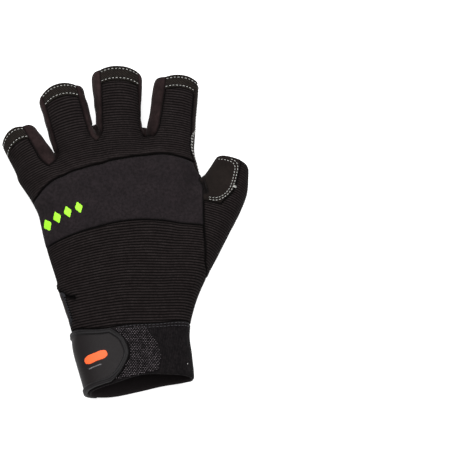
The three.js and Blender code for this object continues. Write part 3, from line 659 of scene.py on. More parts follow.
def noise(p, size, seed):
    """Smooth noise from -1 to 1, with lumps of that size."""
    q = p / size
    cell = np.floor(q).astype(np.int64)
    t = q - cell
    t = t * t * (3 - 2 * t)
    total = 0
    for corner in np.ndindex(2, 2, 2):
        weight = np.prod([np.where(c, t[..., k], 1 - t[..., k]) for k, c in enumerate(corner)], axis=0)
        total = total + weight * hashed(cell + np.array(corner), seed)
    return total * 2 - 1


def waves(p, seed, *rows):
    """Soft unevenness: for each row of a height and a size, noise of its own."""
    return sum(height * noise(p, size, seed + k) for k, (height, size) in enumerate(rows))


def near(points, targets):
    """The distance from each point to the nearest target."""
    tree = kdtree.KDTree(len(targets))
    for i, target in enumerate(targets):
        tree.insert(target, i)
    tree.balance()
    return np.array([tree.find(p)[2] for p in points])


def dent(d, width):
    """From 1 on a line to 0 some way off it."""
    return np.exp(-((d / width) ** 2))


def dense(points, gap=0.4):
    """Points along a line, no further apart than gap."""
    points = np.asarray(points, float)
    lengths = lengths_along(points)
    return sample(points, lengths, np.linspace(0, lengths[-1], max(2, int(lengths[-1] / gap) + 1)))


def smoothed(path, times):
    """A line with its corners worn off."""
    for _ in range(times):
        path[1:-1] = (path[:-2] + 2 * path[1:-1] + path[2:]) / 4
    return path


def rolled(edge, width):
    """From 0 at an edge to 1 a little way in, as a rounded edge rises."""
    return np.sqrt(1 - (1 - np.clip(edge / width, 0, 1)) ** 2)


def ribs(phase):
    """Wide ridges with narrow grooves, one for each whole step of phase."""
    return np.abs(np.sin(np.pi * phase)) ** 0.75


# Meshes


def build(name, points, faces, slot, nodes=(), look=None, attributes=None):
    """Makes a piece, in its slot's look or another, that stands for nodes of the model."""
    mesh = bpy.data.meshes.new(name)
    mesh.from_pydata(((points - CENTRE) * MM).tolist(), [], faces)
    for key, values in (attributes or {}).items():
        data = mesh.attributes.new(key, "FLOAT", "POINT").data
        data.foreach_set("value", np.asarray(values, np.float32))
    mesh.polygons.foreach_set("use_smooth", [True] * len(mesh.polygons))
    mesh.materials.append(LOOKS[look or slot])
    mesh.update()
    piece = bpy.data.objects.new(name, mesh)
    bpy.context.scene.collection.objects.link(piece)
    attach(piece, "root")
    if nodes:
        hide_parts(*nodes)
    return piece


def rim_of(faces, count):
    """The sides that belong to one face only."""
    pairs = np.array([(face[i], face[(i + 1) % len(face)]) for face in faces for i in range(len(face))])
    forward, backward = pairs[:, 0] * count + pairs[:, 1], pairs[:, 1] * count + pairs[:, 0]
    return pairs[~np.isin(forward, backward)]


def wall_faces(faces, rim, count):
    """The faces of a closed wall: its top, its bottom with points numbered from count on, and its rim."""
    bottom = [[v + count for v in reversed(face)] for face in faces]
    return faces + bottom + [[q, p, p + count, q + count] for p, q in rim.tolist()]


def wall_attributes(attributes):
    """Values for both faces of a wall. Those of the bottom are 0."""
    return {key: np.concatenate([values, values * 0]) for key, values in attributes.items()}


def rings_round(line, radius, right, up, sides):
    """Rings of points round the points of lines, across which two directions lead."""
    turn = np.linspace(0, 2 * np.pi, sides + 1)[:-1][:, None]
    across = right[..., None, :] * np.cos(turn) + up[..., None, :] * np.sin(turn)
    return line[..., None, :] + radius[..., None, None] * across


def tube_faces(count, rings, sides):
    """The faces of closed tubes, each of which has that many rings of points."""
    a, b = np.mgrid[0:rings - 1, 0:sides]
    low, beside = a * sides + b, a * sides + (b + 1) % sides
    each = np.stack([low, beside, beside + sides, low + sides], -1).reshape(-1, 4).tolist()
    each += [list(reversed(range(sides))), list(range(sides * (rings - 1), sides * rings))]
    return [[v + k * rings * sides for v in face] for k in range(count) for face in each]


class Sheet:
    """A closed wall grown from grids of points on the form. Grids that share an edge are welded."""

    def __init__(self):
        self.points = np.empty((0, 3))
        self.normals = np.empty((0, 3))
        self.places = np.empty((0, 2))
        self.faces = np.empty((0, 4), int)

    def grid(self, rows, across, stops, fine, crowd=0.0, closed=False):
        """rows gives steering points, from left to right as seen from outside with the rows going up."""
        coarse = settle(curve(rows(stops), across, crowd, closed))
        points = refine(coarse, fine)
        normals = unit(refine(unit(slope(coarse)), fine))
        if closed:
            points[:, -1], normals[:, -1] = points[:, 0], normals[:, 0]
        i = len(self.points) + np.arange(points[..., 0].size).reshape(points.shape[:2])
        quads = np.stack([i[:-1, :-1], i[:-1, 1:], i[1:, 1:], i[1:, :-1]], -1).reshape(-1, 4)
        places = np.stack(np.meshgrid(np.linspace(0, 1, across + 1), np.linspace(0, 1, fine + 1)), -1)
        self.points = np.concatenate([self.points, points.reshape(-1, 3)])
        self.normals = np.concatenate([self.normals, normals.reshape(-1, 3)])
        self.places = np.concatenate([self.places, places.reshape(-1, 2)])
        self.faces = np.concatenate([self.faces, quads])
        return self

    def weld(self):
        """Joins points that meet, makes triangles of faces that lose a corner, and finds the wall's edge."""
        keys = np.round(self.points * WELD).astype(np.int64)
        _, first, inverse = np.unique(keys, axis=0, return_index=True, return_inverse=True)
        self.points, self.normals, self.places = self.points[first], self.normals[first], self.places[first]
        faces = inverse.reshape(-1)[self.faces]
        same = faces == np.roll(faces, -1, axis=1)
        self.sides = faces[same.sum(1) == 0].tolist()
        for face, twin in zip(faces[same.sum(1) == 1], same[same.sum(1) == 1]):
            self.sides.append([int(v) for v, t in zip(face, twin) if not t])
        self.rim = rim_of(self.sides, len(self.points))
        self.edge = near(self.points, dense_rim(self.points, self.rim))
        return self

    def solid(self, name, slot, node, outer, inner, floor=-np.inf, roll=0.5, look=None, **attributes):
        """Fills the space between two heights above the form, with its edges rounded off by roll."""
        middle = (outer + inner) / 2
        rise = mix(EDGE_SHARE, 1, rolled(self.edge, roll))
        top, bottom = (self.points + self.normals * (middle + (height - middle) * rise)[:, None]
                       for height in (outer, inner))
        points = np.concatenate([top, bottom])
        points[:, 2] = np.maximum(points[:, 2], floor)
        faces = wall_faces(self.sides, self.rim, len(self.points))
        return build(name, points, faces, slot, (node,), look, wall_attributes(attributes))


def dense_rim(points, rim, gap=0.5):
    """Points along the rim's sides, no further apart than gap."""
    a, b = points[rim[:, 0]], points[rim[:, 1]]
    out = [a]
    longest = np.linalg.norm(b - a, axis=1).max()
    for t in np.arange(1, math.ceil(longest / gap)) / math.ceil(longest / gap):
        out.append(mix(a, b, t))
    return np.concatenate(out)


# Materials


LOOKS = {}


def linear(r, g, b):
    """A colour given as it looks on screen, 0 to 255."""
    channel = lambda c: c / 12.92 if c <= 0.04045 else ((c + 0.055) / 1.055) ** 2.4
    return (*(channel(value / 255) for value in (r, g, b)), 1.0)


class Nodes:
    """Builds one material's nodes. Colours are given as they look on screen."""

    def __init__(self, name):
        LOOKS[name] = bpy.data.materials.new(name)
        LOOKS[name].use_nodes = True
        self.tree = LOOKS[name].node_tree
        self.shader = self.tree.nodes["Principled BSDF"]
        self.place = self.add("ShaderNodeTexCoord").outputs["Object"]

    def add(self, kind, **values):
        node = self.tree.nodes.new(kind)
        for key, value in values.items():
            setattr(node, key, value)
        return node

    def put(self, node, values):
        """Links or sets inputs, which are given by their names or numbers."""
        for key, value in values.items():
            if isinstance(value, bpy.types.NodeSocket):
                self.tree.links.new(value, node.inputs[key])
            else:
                node.inputs[key].default_value = linear(*value) if isinstance(value, tuple) else value

    def noise(self, scale, detail=2.0, rough=0.55):
        node = self.add("ShaderNodeTexNoise")
        self.put(node, {"Vector": self.place, "Scale": scale, "Detail": detail, "Roughness": rough})
        return node.outputs["Fac"]

    def wave(self, scale, direction, distortion):
        node = self.add("ShaderNodeTexWave", wave_type="BANDS", bands_direction=direction)
        self.put(node, {"Vector": self.place, "Scale": scale, "Distortion": distortion, "Detail Scale": 2.0})
        return node.outputs["Fac"]

    def attribute(self, name):
        return self.add("ShaderNodeAttribute", attribute_name=name).outputs["Fac"]

    def ramp(self, value, low, high, start=0.3, end=0.7):
        node = self.add("ShaderNodeMapRange")
        self.put(node, {"Value": value, "From Min": start, "From Max": end, "To Min": low, "To Max": high})
        return node.outputs[0]

    def tone(self, color, value, share, other, start=0.3, end=0.7, least=0.0):
        """Mixes in another colour, from least to share of it as a value goes from start to end."""
        node = self.add("ShaderNodeMix", data_type="RGBA")
        self.put(node, {0: self.ramp(value, least, share, start, end), 6: color, 7: other})
        return node.outputs[2]

    def bump(self, height, strength, depth, under=None):
        node = self.add("ShaderNodeBump")
        self.put(node, {"Height": height, "Strength": strength, "Distance": depth * MM})
        if under is not None:
            self.put(node, {"Normal": under})
        return node.outputs["Normal"]

    def finish(self, color, roughness, normal=None, sheen=0.0, specular=0.5):
        self.put(self.shader, {"Base Color": color, "Roughness": roughness, "Specular IOR Level": specular,
                               "Sheen Weight": sheen, "Sheen Roughness": 0.4})
        if normal is not None:
            self.put(self.shader, {"Normal": normal})


def knit_material():
    n = Nodes("knit")
    mottle, yarn, fuzz = n.noise(160, 3), n.noise(700, 3, 0.75), n.noise(2600, 2)
    color = n.tone((32, 27, 27), mottle, 1, (40, 35, 35))
    color = n.tone(color, yarn, 0.75, (15, 12, 12))
    # Painted shade: darkens the rib grooves, creases and seams toward near black
    color = n.tone(color, n.attribute("groove"), 0.95, (4, 3, 3), 0.03, 0.5)
    n.finish(color, 0.95, n.bump(fuzz, 0.5, 0.12, n.bump(yarn, 0.5, 0.14)), specular=0.04)


def foam_material():
    n = Nodes("foam_cloth")
    mottle, grain, speck = n.noise(120, 3), n.noise(620, 3, 0.75), n.noise(3400, 1)
    color = n.tone((25, 21, 23), mottle, 1, (31, 26, 28))
    color = n.tone(color, grain, 0.8, (15, 12, 13), 0.4, 0.64)
    # Painted shade along the band's edges and seams
    color = n.tone(color, n.attribute("groove"), 0.95, (4, 3, 3), 0.1, 0.8)
    n.finish(color, 0.9, n.bump(speck, 0.35, 0.08, n.bump(grain, 0.4, 0.1)), sheen=0.01, specular=0.08)


def hem_material():
    n = Nodes("hem")
    twill, fuzz = n.wave(420, "DIAGONAL", 1.0), n.noise(1300, 3, 0.8)
    color = n.tone((19, 16, 13), twill, 1, (37, 33, 30), 0.2, 0.8)
    color = n.tone(color, fuzz, 0.8, (13, 11, 10), 0.42, 0.62)
    # Painted shade in the sunk lines under the stitching
    color = n.tone(color, n.attribute("groove"), 0.8, (9, 8, 8), 0.2, 1.0)
    n.finish(color, 0.93, n.bump(fuzz, 0.4, 0.1, n.bump(twill, 0.5, 0.12)), sheen=0.01, specular=0.05)


def suede_material(name, dark, light, deep):
    n = Nodes(name)
    clouds, nap, fibre = n.noise(90, 4, 0.65), n.noise(700, 4, 0.7), n.noise(3600, 2)
    color = n.tone(dark, clouds, 1, light)
    color = n.tone(color, nap, 0.45, deep)
    # Painted shade at the seams, in the sunk stitch lines and in the pockets of the folds
    color = n.tone(color, n.attribute("groove"), 0.9, deep, 0.2, 1.0)
    # Painted highlight: a pale cool grey along the palm's edge beside the wrist
    color = n.tone(color, n.attribute("slate"), 1, (38, 39, 43), 0, 1)
    n.finish(color, 0.97, n.bump(fibre, 0.45, 0.1, n.bump(nap, 0.35, 0.14)), sheen=0.05, specular=0.08)
    n.shader.inputs["Sheen Tint"].default_value = (0.8, 0.72, 0.7, 1)


def elastic_material():
    n = Nodes("elastic")
    weave, fuzz, mottle = n.wave(520, "Y", 0.6), n.noise(640, 3, 0.75), n.noise(140, 2)
    color = n.tone((16, 13, 14), mottle, 1, (22, 19, 20))
    # Painted shade in the grooves between the cuff's ribs
    color = n.tone(color, n.attribute("groove"), 0.8, (6, 5, 6), 0.2, 0.9)
    color = n.tone(color, fuzz, 0.75, (3, 2, 3), 0.42, 0.6)
    # Painted light: the inner wall, where outside is 0, is lightened against the shade that falls inside the
    # cuff
    color = n.tone(color, n.attribute("outside"), 0, (30, 26, 27), 0, 1, least=0.8)
    n.finish(color, 0.93, n.bump(fuzz, 0.35, 0.08, n.bump(weave, 0.3, 0.06)), sheen=0.015, specular=0.08)


def rubber_material():
    n = Nodes("rubber")
    grain, mottle = n.noise(2100, 3), n.noise(110, 2)
    color = n.tone((8, 3, 4), mottle, 1, (11, 6, 7))
    # Painted highlight: a paler, cooler grey on the tab's raised rim
    color = n.tone(color, n.attribute("rim"), 0.7, (12, 11, 13), 0.2, 1.0)
    # Painted shade in the grooves beside the rim
    color = n.tone(color, n.attribute("groove"), 0.85, (9, 8, 9), 0.2, 1.0)
    n.finish(color, n.ramp(grain, 0.55, 0.7), n.bump(grain, 0.25, 0.05), specular=0.18)


def loops_material():
    n = Nodes("loops")
    color = n.tone((50, 45, 47), n.noise(420, 2), 1, (112, 104, 108), 0.35, 0.65)
    n.finish(color, 0.8, n.bump(n.noise(3000, 2), 0.4, 0.06), sheen=0.03, specular=0.2)


def thread_material(name, color, shade):
    n = Nodes(name)
    twist = n.wave(900, "DIAGONAL", 0.5)
    color = n.tone(color, n.noise(300, 2), 0.5, shade)
    n.finish(n.tone(color, twist, 0.3, shade, 0.2, 0.8), 0.75, n.bump(twist, 0.5, 0.06))


def print_material(name, color, shade):
    n = Nodes(name)
    grain = n.noise(1500, 3)
    n.finish(n.tone(color, grain, 0.35, shade), 0.6, n.bump(grain, 0.3, 0.05), specular=0.4)


for make in (knit_material, foam_material, hem_material, elastic_material, rubber_material, loops_material):
    make()
suede_material("suede", (20, 16, 14), (29, 24, 22), (7, 5, 5))
suede_material("pad_suede", (25, 21, 19), (35, 30, 28), (13, 11, 10))
suede_material("strip", (16, 10, 10), (44, 33, 33), (6, 3, 3))
# Painted shade: the patch's ground under the loops is near black, standing for the shade between them
suede_material("patch_ground_shade", (8, 6, 7), (14, 12, 13), (4, 3, 4))
thread_material("thread", (178, 178, 174), (120, 118, 114))
thread_material("dark_thread", (52, 50, 54), (30, 28, 32))
print_material("green_print", (140, 214, 16), (120, 190, 12))
print_material("orange_print", (228, 88, 28), (206, 74, 22))
print_material("grey_print", (96, 94, 96), (80, 78, 80))


# Ribbed knit and foam band over the back of the hand

# How long the knit on the back is in its middle, where its left side is and how wide it is
BACK_LENGTH, BACK_LEFT, BACK_WIDTH = 63.6, -45.8, 94.0

# The fold beside the wrist, seen in plan, and the lower and right ends of the bulge above it
SIDE_FOLD = [(-34.8, -38), (-33.2, -40.2), (-31.2, -42.2), (-28.8, -43.8), (-26.2, -44.8)]
BULGE_LOW, BULGE_RIGHT = -43.0, -24.0
BAND_LIFT = 0.5


def fold_line(line):
    """Dense points on the back under a line of the plan."""
    line = np.array(line, float)
    return dense(surface(line[:, 0], line[:, 1], False))


def knit_back():
    count = int(round(BACK_LENGTH / BACK_RIB))
    rows = between_rows(CUFF_SEAM, BAND_LOW)
    sheet = Sheet().grid(lambda v: rows(v, False), 96, np.linspace(0, 1, 33), count * 6, crowd=0.45).weld()
    p, edge = sheet.points, sheet.edge
    place = np.clip((p[:, 0] - BACK_LEFT) / BACK_WIDTH, 0, 1)
    low, high = (read_row(row, place) for row in (CUFF_SEAM, BAND_LOW))
    ridge = ribs((p[:, 1] - low) / (high - low) * count + waves(p, 3, (0.22, 22), (0.08, 5)))
    fold = near(p, fold_line(SIDE_FOLD))
    crease = dent(fold, 1.0)
    bulge = dent(fold - 2.8, 2.0) * (p[:, 1] > BULGE_LOW) * (p[:, 0] < BULGE_RIGHT)
    outer = 0.3 + RIB_HEIGHT * (ridge - 1) + waves(p, 1, (0.35, 17), (0.12, 6)) * ease(edge / 6)
    outer += 0.8 * bulge - 1.4 * crease - 0.5 * dent(edge, 0.9)
    # Painted shade in the rib grooves, in the crease of the side fold and along the edges
    groove = np.clip(1 - ridge + crease + dent(edge, 0.5), 0, 1)
    sheet.solid("knit_back_cloth", "knit", "knit_back", outer, -KNIT, groove=groove)


def band_height(p, edge):
    """How high the band stands above the form."""
    soft = waves(p, 5, (0.4, 21), (0.1, 7))
    return BAND_LIFT + 0.55 * ease(edge / 4.5) + soft * ease(edge / 8) - 0.5 * dent(edge, 0.8)


def knuckle_band():
    rows = between_rows(BAND_LOW, BAND_TOP)
    sheet = Sheet().grid(lambda v: rows(v, False), 116, np.linspace(0, 1, 40), 84, crowd=0.4).weld()
    # The band's edges carry painted shade
    sheet.solid("knuckle_band_foam", "foam_cloth", "knuckle_band", band_height(sheet.points, sheet.edge),
                BAND_LIFT - FOAM, roll=1.3, groove=dent(sheet.edge, 0.6))


knit_back()
knuckle_band()


# The fingers: ribbed backs, stitched hems, and strips between them


def finger_phase(p):
    """How far along the fingers points lie. Neighbours agree where the tip of the V between them lies."""
    total, bows, offset = None, 0.0, 0.0
    for number, finger in enumerate(FINGERS):
        name = finger["name"]
        along, across = to_tube(name, p[:, 0], p[:, 1])
        left, right = (read(TUBES[name][2], along, column) for column in (LEFT, RIGHT))
        u = np.clip((2 * across - left - right) / (right - left), -1, 1)
        lean = mix(*finger["skew"], (u + 1) / 2)
        bows = bows + ease(along / finger["tip"]) * (0.6 * finger["arch"] * (1 - u * u) + 0.8 * lean)
        own = along + offset
        total = own if total is None else -join(-total, -own, 0.6)
        if number < len(CROTCHES):
            tip = CROTCHES[number]["back"]
            offset += to_tube(name, *tip)[0] - to_tube(FINGERS[number + 1]["name"], *tip)[0]
    return total - bows


def knit_fingers():
    sheet = Sheet()
    for finger in FINGERS:
        sheet.grid(lambda t: root_rows(finger, BAND_TOP, t, False), 40, np.linspace(0, 1, 11), 64)
        sheet.grid(lambda t: lane_rows(finger, t, False), 40, np.linspace(0, HEM_START, 25), 150)
    sheet.weld()
    p, edge = sheet.points, sheet.edge
    ridge = ribs(finger_phase(p) / FINGER_RIB + waves(p, 11, (0.2, 14), (0.06, 4)))
    outer = 0.2 + 0.75 * RIB_HEIGHT * (ridge - 1) * mix(0.4, 1, ease((edge - 0.5) / 3))
    outer += waves(p, 13, (0.3, 15), (0.1, 6)) * ease(edge / 5)
    hang = near(p, dense(settle(curve(hand_rows(BAND_TOP, False), 120))[0]))
    outer += 0.5 * dent(hang - 1.8, 1.4) - 0.6 * dent(edge, 0.9)
    # Painted shade in the rib grooves, weaker near the band, along the edges and in the shadow under the
    # band's upper edge
    groove = np.clip((1 - ridge) * mix(0.5, 1, ease(hang / 9)) + dent(edge, 0.6) + dent(hang, 0.7), 0, 1)
    sheet.solid("knit_fingers_cloth", "knit", "knit_fingers", outer, -KNIT, groove=groove)


def stitches(name, paths, pitch, length, look="thread", radius=THREAD, low=-np.inf):
    """Dashes of thread along paths, each of which is points and the surface's normals there."""
    rings = []
    t = np.linspace(-1, 1, STITCH_RINGS)
    for path, normals in paths:
        lengths = lengths_along(path)
        count = max(1, int(round(lengths[-1] / pitch)))
        for k in range(count):
            wobble = 0.12 * math.sin(12.9 * k + 3.1 * len(rings))
            at = (k + 0.5) * lengths[-1] / count + t * length / 2 * (1 + wobble)
            centre, up = sample(path, lengths, at), unit(sample(normals, lengths, at))
            side = np.cross(unit(np.gradient(centre, axis=0)), up)
            centre = centre + up * (radius * (0.6 - 1.1 * t**4))[:, None]
            rings.append(rings_round(centre, radius * np.sqrt(1 - 0.9 * t**6), side, up, STITCH_SIDES))
    points = np.concatenate(rings).reshape(-1, 3)
    points[:, 2] = np.maximum(points[:, 2], low)
    build(name, points, tube_faces(len(rings), STITCH_RINGS, STITCH_SIDES), "thread", look=look)


def flat(points):
    """Points of the plan at height 0."""
    return np.concatenate([points, np.zeros((len(points), 1))], 1)


def raised_line(line, lift):
    """A path for stitches, raised from points on the form."""
    line = settle(line)
    normals = unit(slope(line))
    return line + normals * lift, normals


# How far the stitches lie from the hem's edges, and how many points short they stop on the index finger
HEM_ROWS, HEM_SHORT = (1.8, 1.0), (5, 14)


def hem(finger):
    """A finger's turned hem. Gives the paths of its two rows of stitches."""
    name = finger["name"]
    one = (1 - HEM_START) / finger["hem"]
    stops = np.linspace(HEM_START - 0.3 * one, 1, 9)
    sheet = Sheet().grid(lambda t: lane_rows(finger, t, False), 52, stops, 32).weld()
    t_rows = [1 - one * HEM_ROWS[0], HEM_START + one * HEM_ROWS[1]]
    lines = [settle(curve(lane_rows(finger, t, False), 60))[0] for t in t_rows]
    sunk = sum(dent(near(sheet.points, dense(line)), 0.55) for line in lines)
    outer = 0.45 + waves(sheet.points, 21, (0.1, 4)) - 0.28 * sunk
    # The sunk lines under the stitches carry painted shade
    sheet.solid(f"hem_{name}_cloth", "hem", f"hem_{name}", outer, 0.3 - HEM, roll=0.9,
                groove=np.clip(sunk, 0, 1))
    shorter = HEM_SHORT if name == "index" else (0, 0)
    return [raised_line(line[:len(line) - less], 0.2) for line, less in zip(lines, shorter)]


# The deep pockets in the folds, seen in plan, dented and darkened with painted shade
POCKETS = [
    [(-37.4, 48.4), (-36.9, 44.6)],
    [(-16.2, 66.4), (-14.6, 65), (-13.2, 61.6), (-12.4, 58.8)],
    [(19.6, 57.8), (20, 57)],
]


def fourchette(number):
    """The strip between two fingers: down the side of the right one, over the fold and up the left one."""
    crotch, left, right = CROTCHES[number], FINGERS[number], FINGERS[number + 1]
    fold = parting(crotch["fold"], (TUBES[left["name"]][1] + TUBES[right["name"]][1]) / 2)
    stops = np.linspace(0, 1, 27)
    sheet = Sheet()
    sheet.grid(lambda t: strip_rows(right, False, t, fold), 16, stops[::-1], 52)
    sheet.grid(lambda t: strip_rows(left, True, t, fold), 16, stops, 52)
    sheet.weld()
    p, edge = sheet.points, sheet.edge
    pocket = near(p * (1, 1, 0), dense(flat(np.array(POCKETS[number]))))
    outer = (0.6 + waves(p, 31 + number, (0.3, 5))) * ease(edge / 2.5) - 1.8 * dent(pocket, 1.1)
    inner = -STRIP - 1.1 * dent(pocket, 1.6)
    # Painted shade along the edges and, strongest, in the pocket
    groove = np.clip(dent(edge, 0.8) + 2.0 * dent(pocket, 1.3), 0, 1)
    name = f"fourchette_{left['name']}_{right['name']}"
    sheet.solid(name + "_cloth", "strip", name, outer, inner, roll=0.9, groove=groove)


knit_fingers()
hem_paths = [path for finger in FINGERS for path in hem(finger)]
stitches("hem_stitches", hem_paths, *HEM_STITCH)
for number in range(len(CROTCHES)):
    fourchette(number)


# The palm with the fronts of the fingers

# Where the palm shows beside the wrist, its edge gets a painted highlight
EDGE_HIGHLIGHT = (-60.0, -39.0)

# How far the seam beside the index finger turns under, the middle and half the length of where it doesn't,
# and how far from the seam its two rows of stitches lie
SEAM_TURN, SEAM_SHOWS = 4.5, (53.4, 4.8)
SIDE_ROWS = (0.1, 1.15)


def reverse(rows):
    return rows[:, ::-1]


def palm():
    sheet = Sheet()
    hand = between_rows(PALM_SEAM, PALM_TOP)
    for number, finger in enumerate(FINGERS):
        start, end = LANE_PLACES[number:number + 2]
        sheet.grid(lambda v: reverse(hand(v, True, start, end)), 22, np.linspace(0, 1, 56), 92)
        sheet.grid(lambda t: reverse(root_rows(finger, PALM_TOP, t, True)), 22, np.linspace(0, 1, 9), 14)
        sheet.grid(lambda t: reverse(lane_rows(finger, t, True)), 22, np.linspace(0, 1, 27), 40)
    sheet.weld()
    p, edge = sheet.points, sheet.edge
    outer = 0.3 + waves(p, 41, (0.4, 19), (0.2, 8), (0.08, 3)) * ease(edge / 5) - 0.5 * dent(edge, 0.8)
    # Painted highlight along the palm's edge beside the wrist, and painted shade along the other edges
    slate = dent(near(p, dense(left_seam(np.linspace(*EDGE_HIGHLIGHT, 30)))), 1.4)
    sheet.solid("palm_cloth", "suede", "palm", outer, -SUEDE, floor=0.0,
                groove=dent(edge, 0.6) * (1 - slate), slate=slate)


def beside(rows, gap):
    """The points a gap away from the right end of each row. Only at the knuckle do they show from above."""
    out = []
    for row in rows:
        lengths = lengths_along(row)
        turned = SEAM_TURN * ease((abs(row[-1, 1] - SEAM_SHOWS[0]) - SEAM_SHOWS[1]) / 6)
        out.append(sample(row, lengths, lengths[-1] - gap - turned))
    return np.array(out)


def index_side_path(gap):
    """Down the palm's edge from the end of the index finger to the crotch of the thumb."""
    index, down = FINGERS[3], np.linspace(0.98, 0, 30)
    low = (web_point[1] + 3 - PALM_SEAM[-1]) / (PALM_TOP[-1] - PALM_SEAM[-1])
    hand = between_rows(PALM_SEAM, PALM_TOP)(np.linspace(1, low, 12)[1:], True, LANE_PLACES[3], 1.0)
    rows = [lane_rows(index, down, True), root_rows(index, PALM_TOP, down[1:], True), hand]
    path = dense(beside(np.concatenate([curve(row, 160) for row in rows]), gap), 0.5)
    return raised_line(smoothed(path, 20), 0.3)


palm()
stitches("index_side_stitches", [index_side_path(gap) for gap in SIDE_ROWS], *PALM_STITCH)


# The thumb

# The deep pocket in the thumb's crotch, seen in plan, dented and darkened with painted shade
THUMB_POCKET = [(48, 28.6), (48.6, 25.4), (49.2, 22.8), (49.9, 20.6)]

# Rows of stitches on the suede's edge: how far in they lie and how far along the open end they start
WRAP_ROWS = [(0.9, 16), (2.3, 9)]

# How much further in they lie at the open end, and how far short of the corners and the inner edge they stop
TOP_MARGIN, CORNER_MARGIN, END_MARGIN = 0.8, 2.0, 3.2

# The bar tack: how many stitches, where the first lies and how far apart they are, and its two ends' angles
TACKS, TACK_START, TACK_PITCH, TACK_ENDS = 3, 74.8, 0.42, (69, 59)


def thumb_back():
    low, edge, tip = THUMB["gusset"], THUMB["wrap"], THUMB["tip"]
    sheet = Sheet()
    sheet.grid(lambda a: thumb_rows(a, False), 44, np.linspace(low, edge, 33), 216)
    sheet.grid(outer_rows, 26, np.linspace(low, edge, 33), 216)
    sheet.grid(outer_rows, 26, np.linspace(edge, tip, 20), 126)
    sheet.weld()
    p, edge = sheet.points, sheet.edge
    ridge = ribs(to_tube("thumb", p[:, 0], p[:, 1])[0] / THUMB_RIB + waves(p, 51, (0.18, 16), (0.05, 4)))
    outer = 0.3 + 0.8 * RIB_HEIGHT * (ridge - 1) - 0.5 * dent(edge, 0.9)
    outer += waves(p, 53, (0.35, 13), (0.12, 5)) * ease(edge / 5)
    # Painted shade in the rib grooves and along the edges
    groove = np.clip(1 - ridge + dent(edge, 0.6), 0, 1)
    sheet.solid("thumb_back_cloth", "knit", "thumb_back", outer, -KNIT, groove=groove)


def thumb_palm():
    sheet = Sheet()
    upper = np.linspace(web_along, THUMB["tip"], 14)
    for underside, lower, fine in ((True, np.linspace(THUMB["front"], web_along, 41), 60),
                                   (False, np.linspace(THUMB["wrap"], web_along, 9), 14)):
        sheet.grid(lambda a: thumb_rows(a, underside), 40, lower, fine)
        sheet.grid(lambda a: thumb_rows(a, underside), 40, upper, 20)
    sheet.weld()
    p, edge = sheet.points, sheet.edge
    pocket = near(p, fold_line(THUMB_POCKET))
    outer = 0.4 + waves(p, 61, (0.35, 12), (0.12, 4)) * ease(edge / 4) - 2.2 * dent(pocket, 1.1)
    # Painted shade along the edges and, strongest, in the pocket
    groove = np.clip(dent(edge, 0.5) + 2.2 * dent(pocket, 1.6), 0, 1)
    sheet.solid("thumb_palm_cloth", "suede", "thumb_palm", outer, 0.3 - SUEDE - 1.5 * dent(pocket, 1.6),
                roll=0.8, floor=0.0, groove=groove)


def wrap_stitch_path(inset, start):
    """Along the suede's edge on the thumb's back: across its open end, down its side and across again."""
    steps = 120
    along = np.linspace(THUMB["tip"] - inset - TOP_MARGIN, THUMB["wrap"] + inset, steps // 2)
    rows = curve(thumb_rows(along, False), steps)
    reach = lengths_along(rows)[:, -1]
    share = np.linspace(0, 1, steps + 1)
    down = np.array([sample(row, share, 1 - inset / r) for row, r in zip(rows, reach)])
    keep = lambda k, before: rows[k][(share > before / reach[k])
                                     & (share < 1 - (inset + CORNER_MARGIN) / reach[k])]
    path = dense(np.concatenate([keep(0, start), down[5:-6], keep(-1, END_MARGIN)[::-1]]), 0.5)
    return raised_line(smoothed(path, 24), 0.42)


def tack_path(k):
    along = np.full(5, TACK_START + TACK_PITCH * k)
    return raised_line(on_tube("thumb", along, np.linspace(*TACK_ENDS, 5)), 0.45)


thumb_back()
thumb_palm()
stitches("thumb_stitches", [wrap_stitch_path(*row) for row in WRAP_ROWS], *PALM_STITCH)
stitches("bar_tack", [tack_path(k) for k in range(TACKS)], *TACK_STITCH)


# The cuff and its closure

# Ribs round the cuff, points for each of them, and the plain strip at its upper edge
CUFF_RIBS, RIB_POINTS, CUFF_HEIGHT = 140, 5, 28.0
STRIP_LEFT, STRIP_RIGHT, STRIP_WIDTH = -6.0, 38.0, 2.6

# How far below that edge the dark stitches lie and from where to where they go, and an end of thread in plan
CUFF_ROWS, CUFF_ROW_ENDS = (0.9, 2.3), (0.38, 0.985)
THREAD_END = [(38.6, -84.7), (39.4, -84.3)]

# The tab's raised rim and sunk field, the pitch of its grip as a count over the whole tab and where it ends,
# and the upper corner that is pressed down
RIM_WIDTH, FIELD_DEPTH = 2.4, 0.8
GRIPS, GRIP_END = 50, 0.16
TAB_CORNER = (-23.0, -63.0)


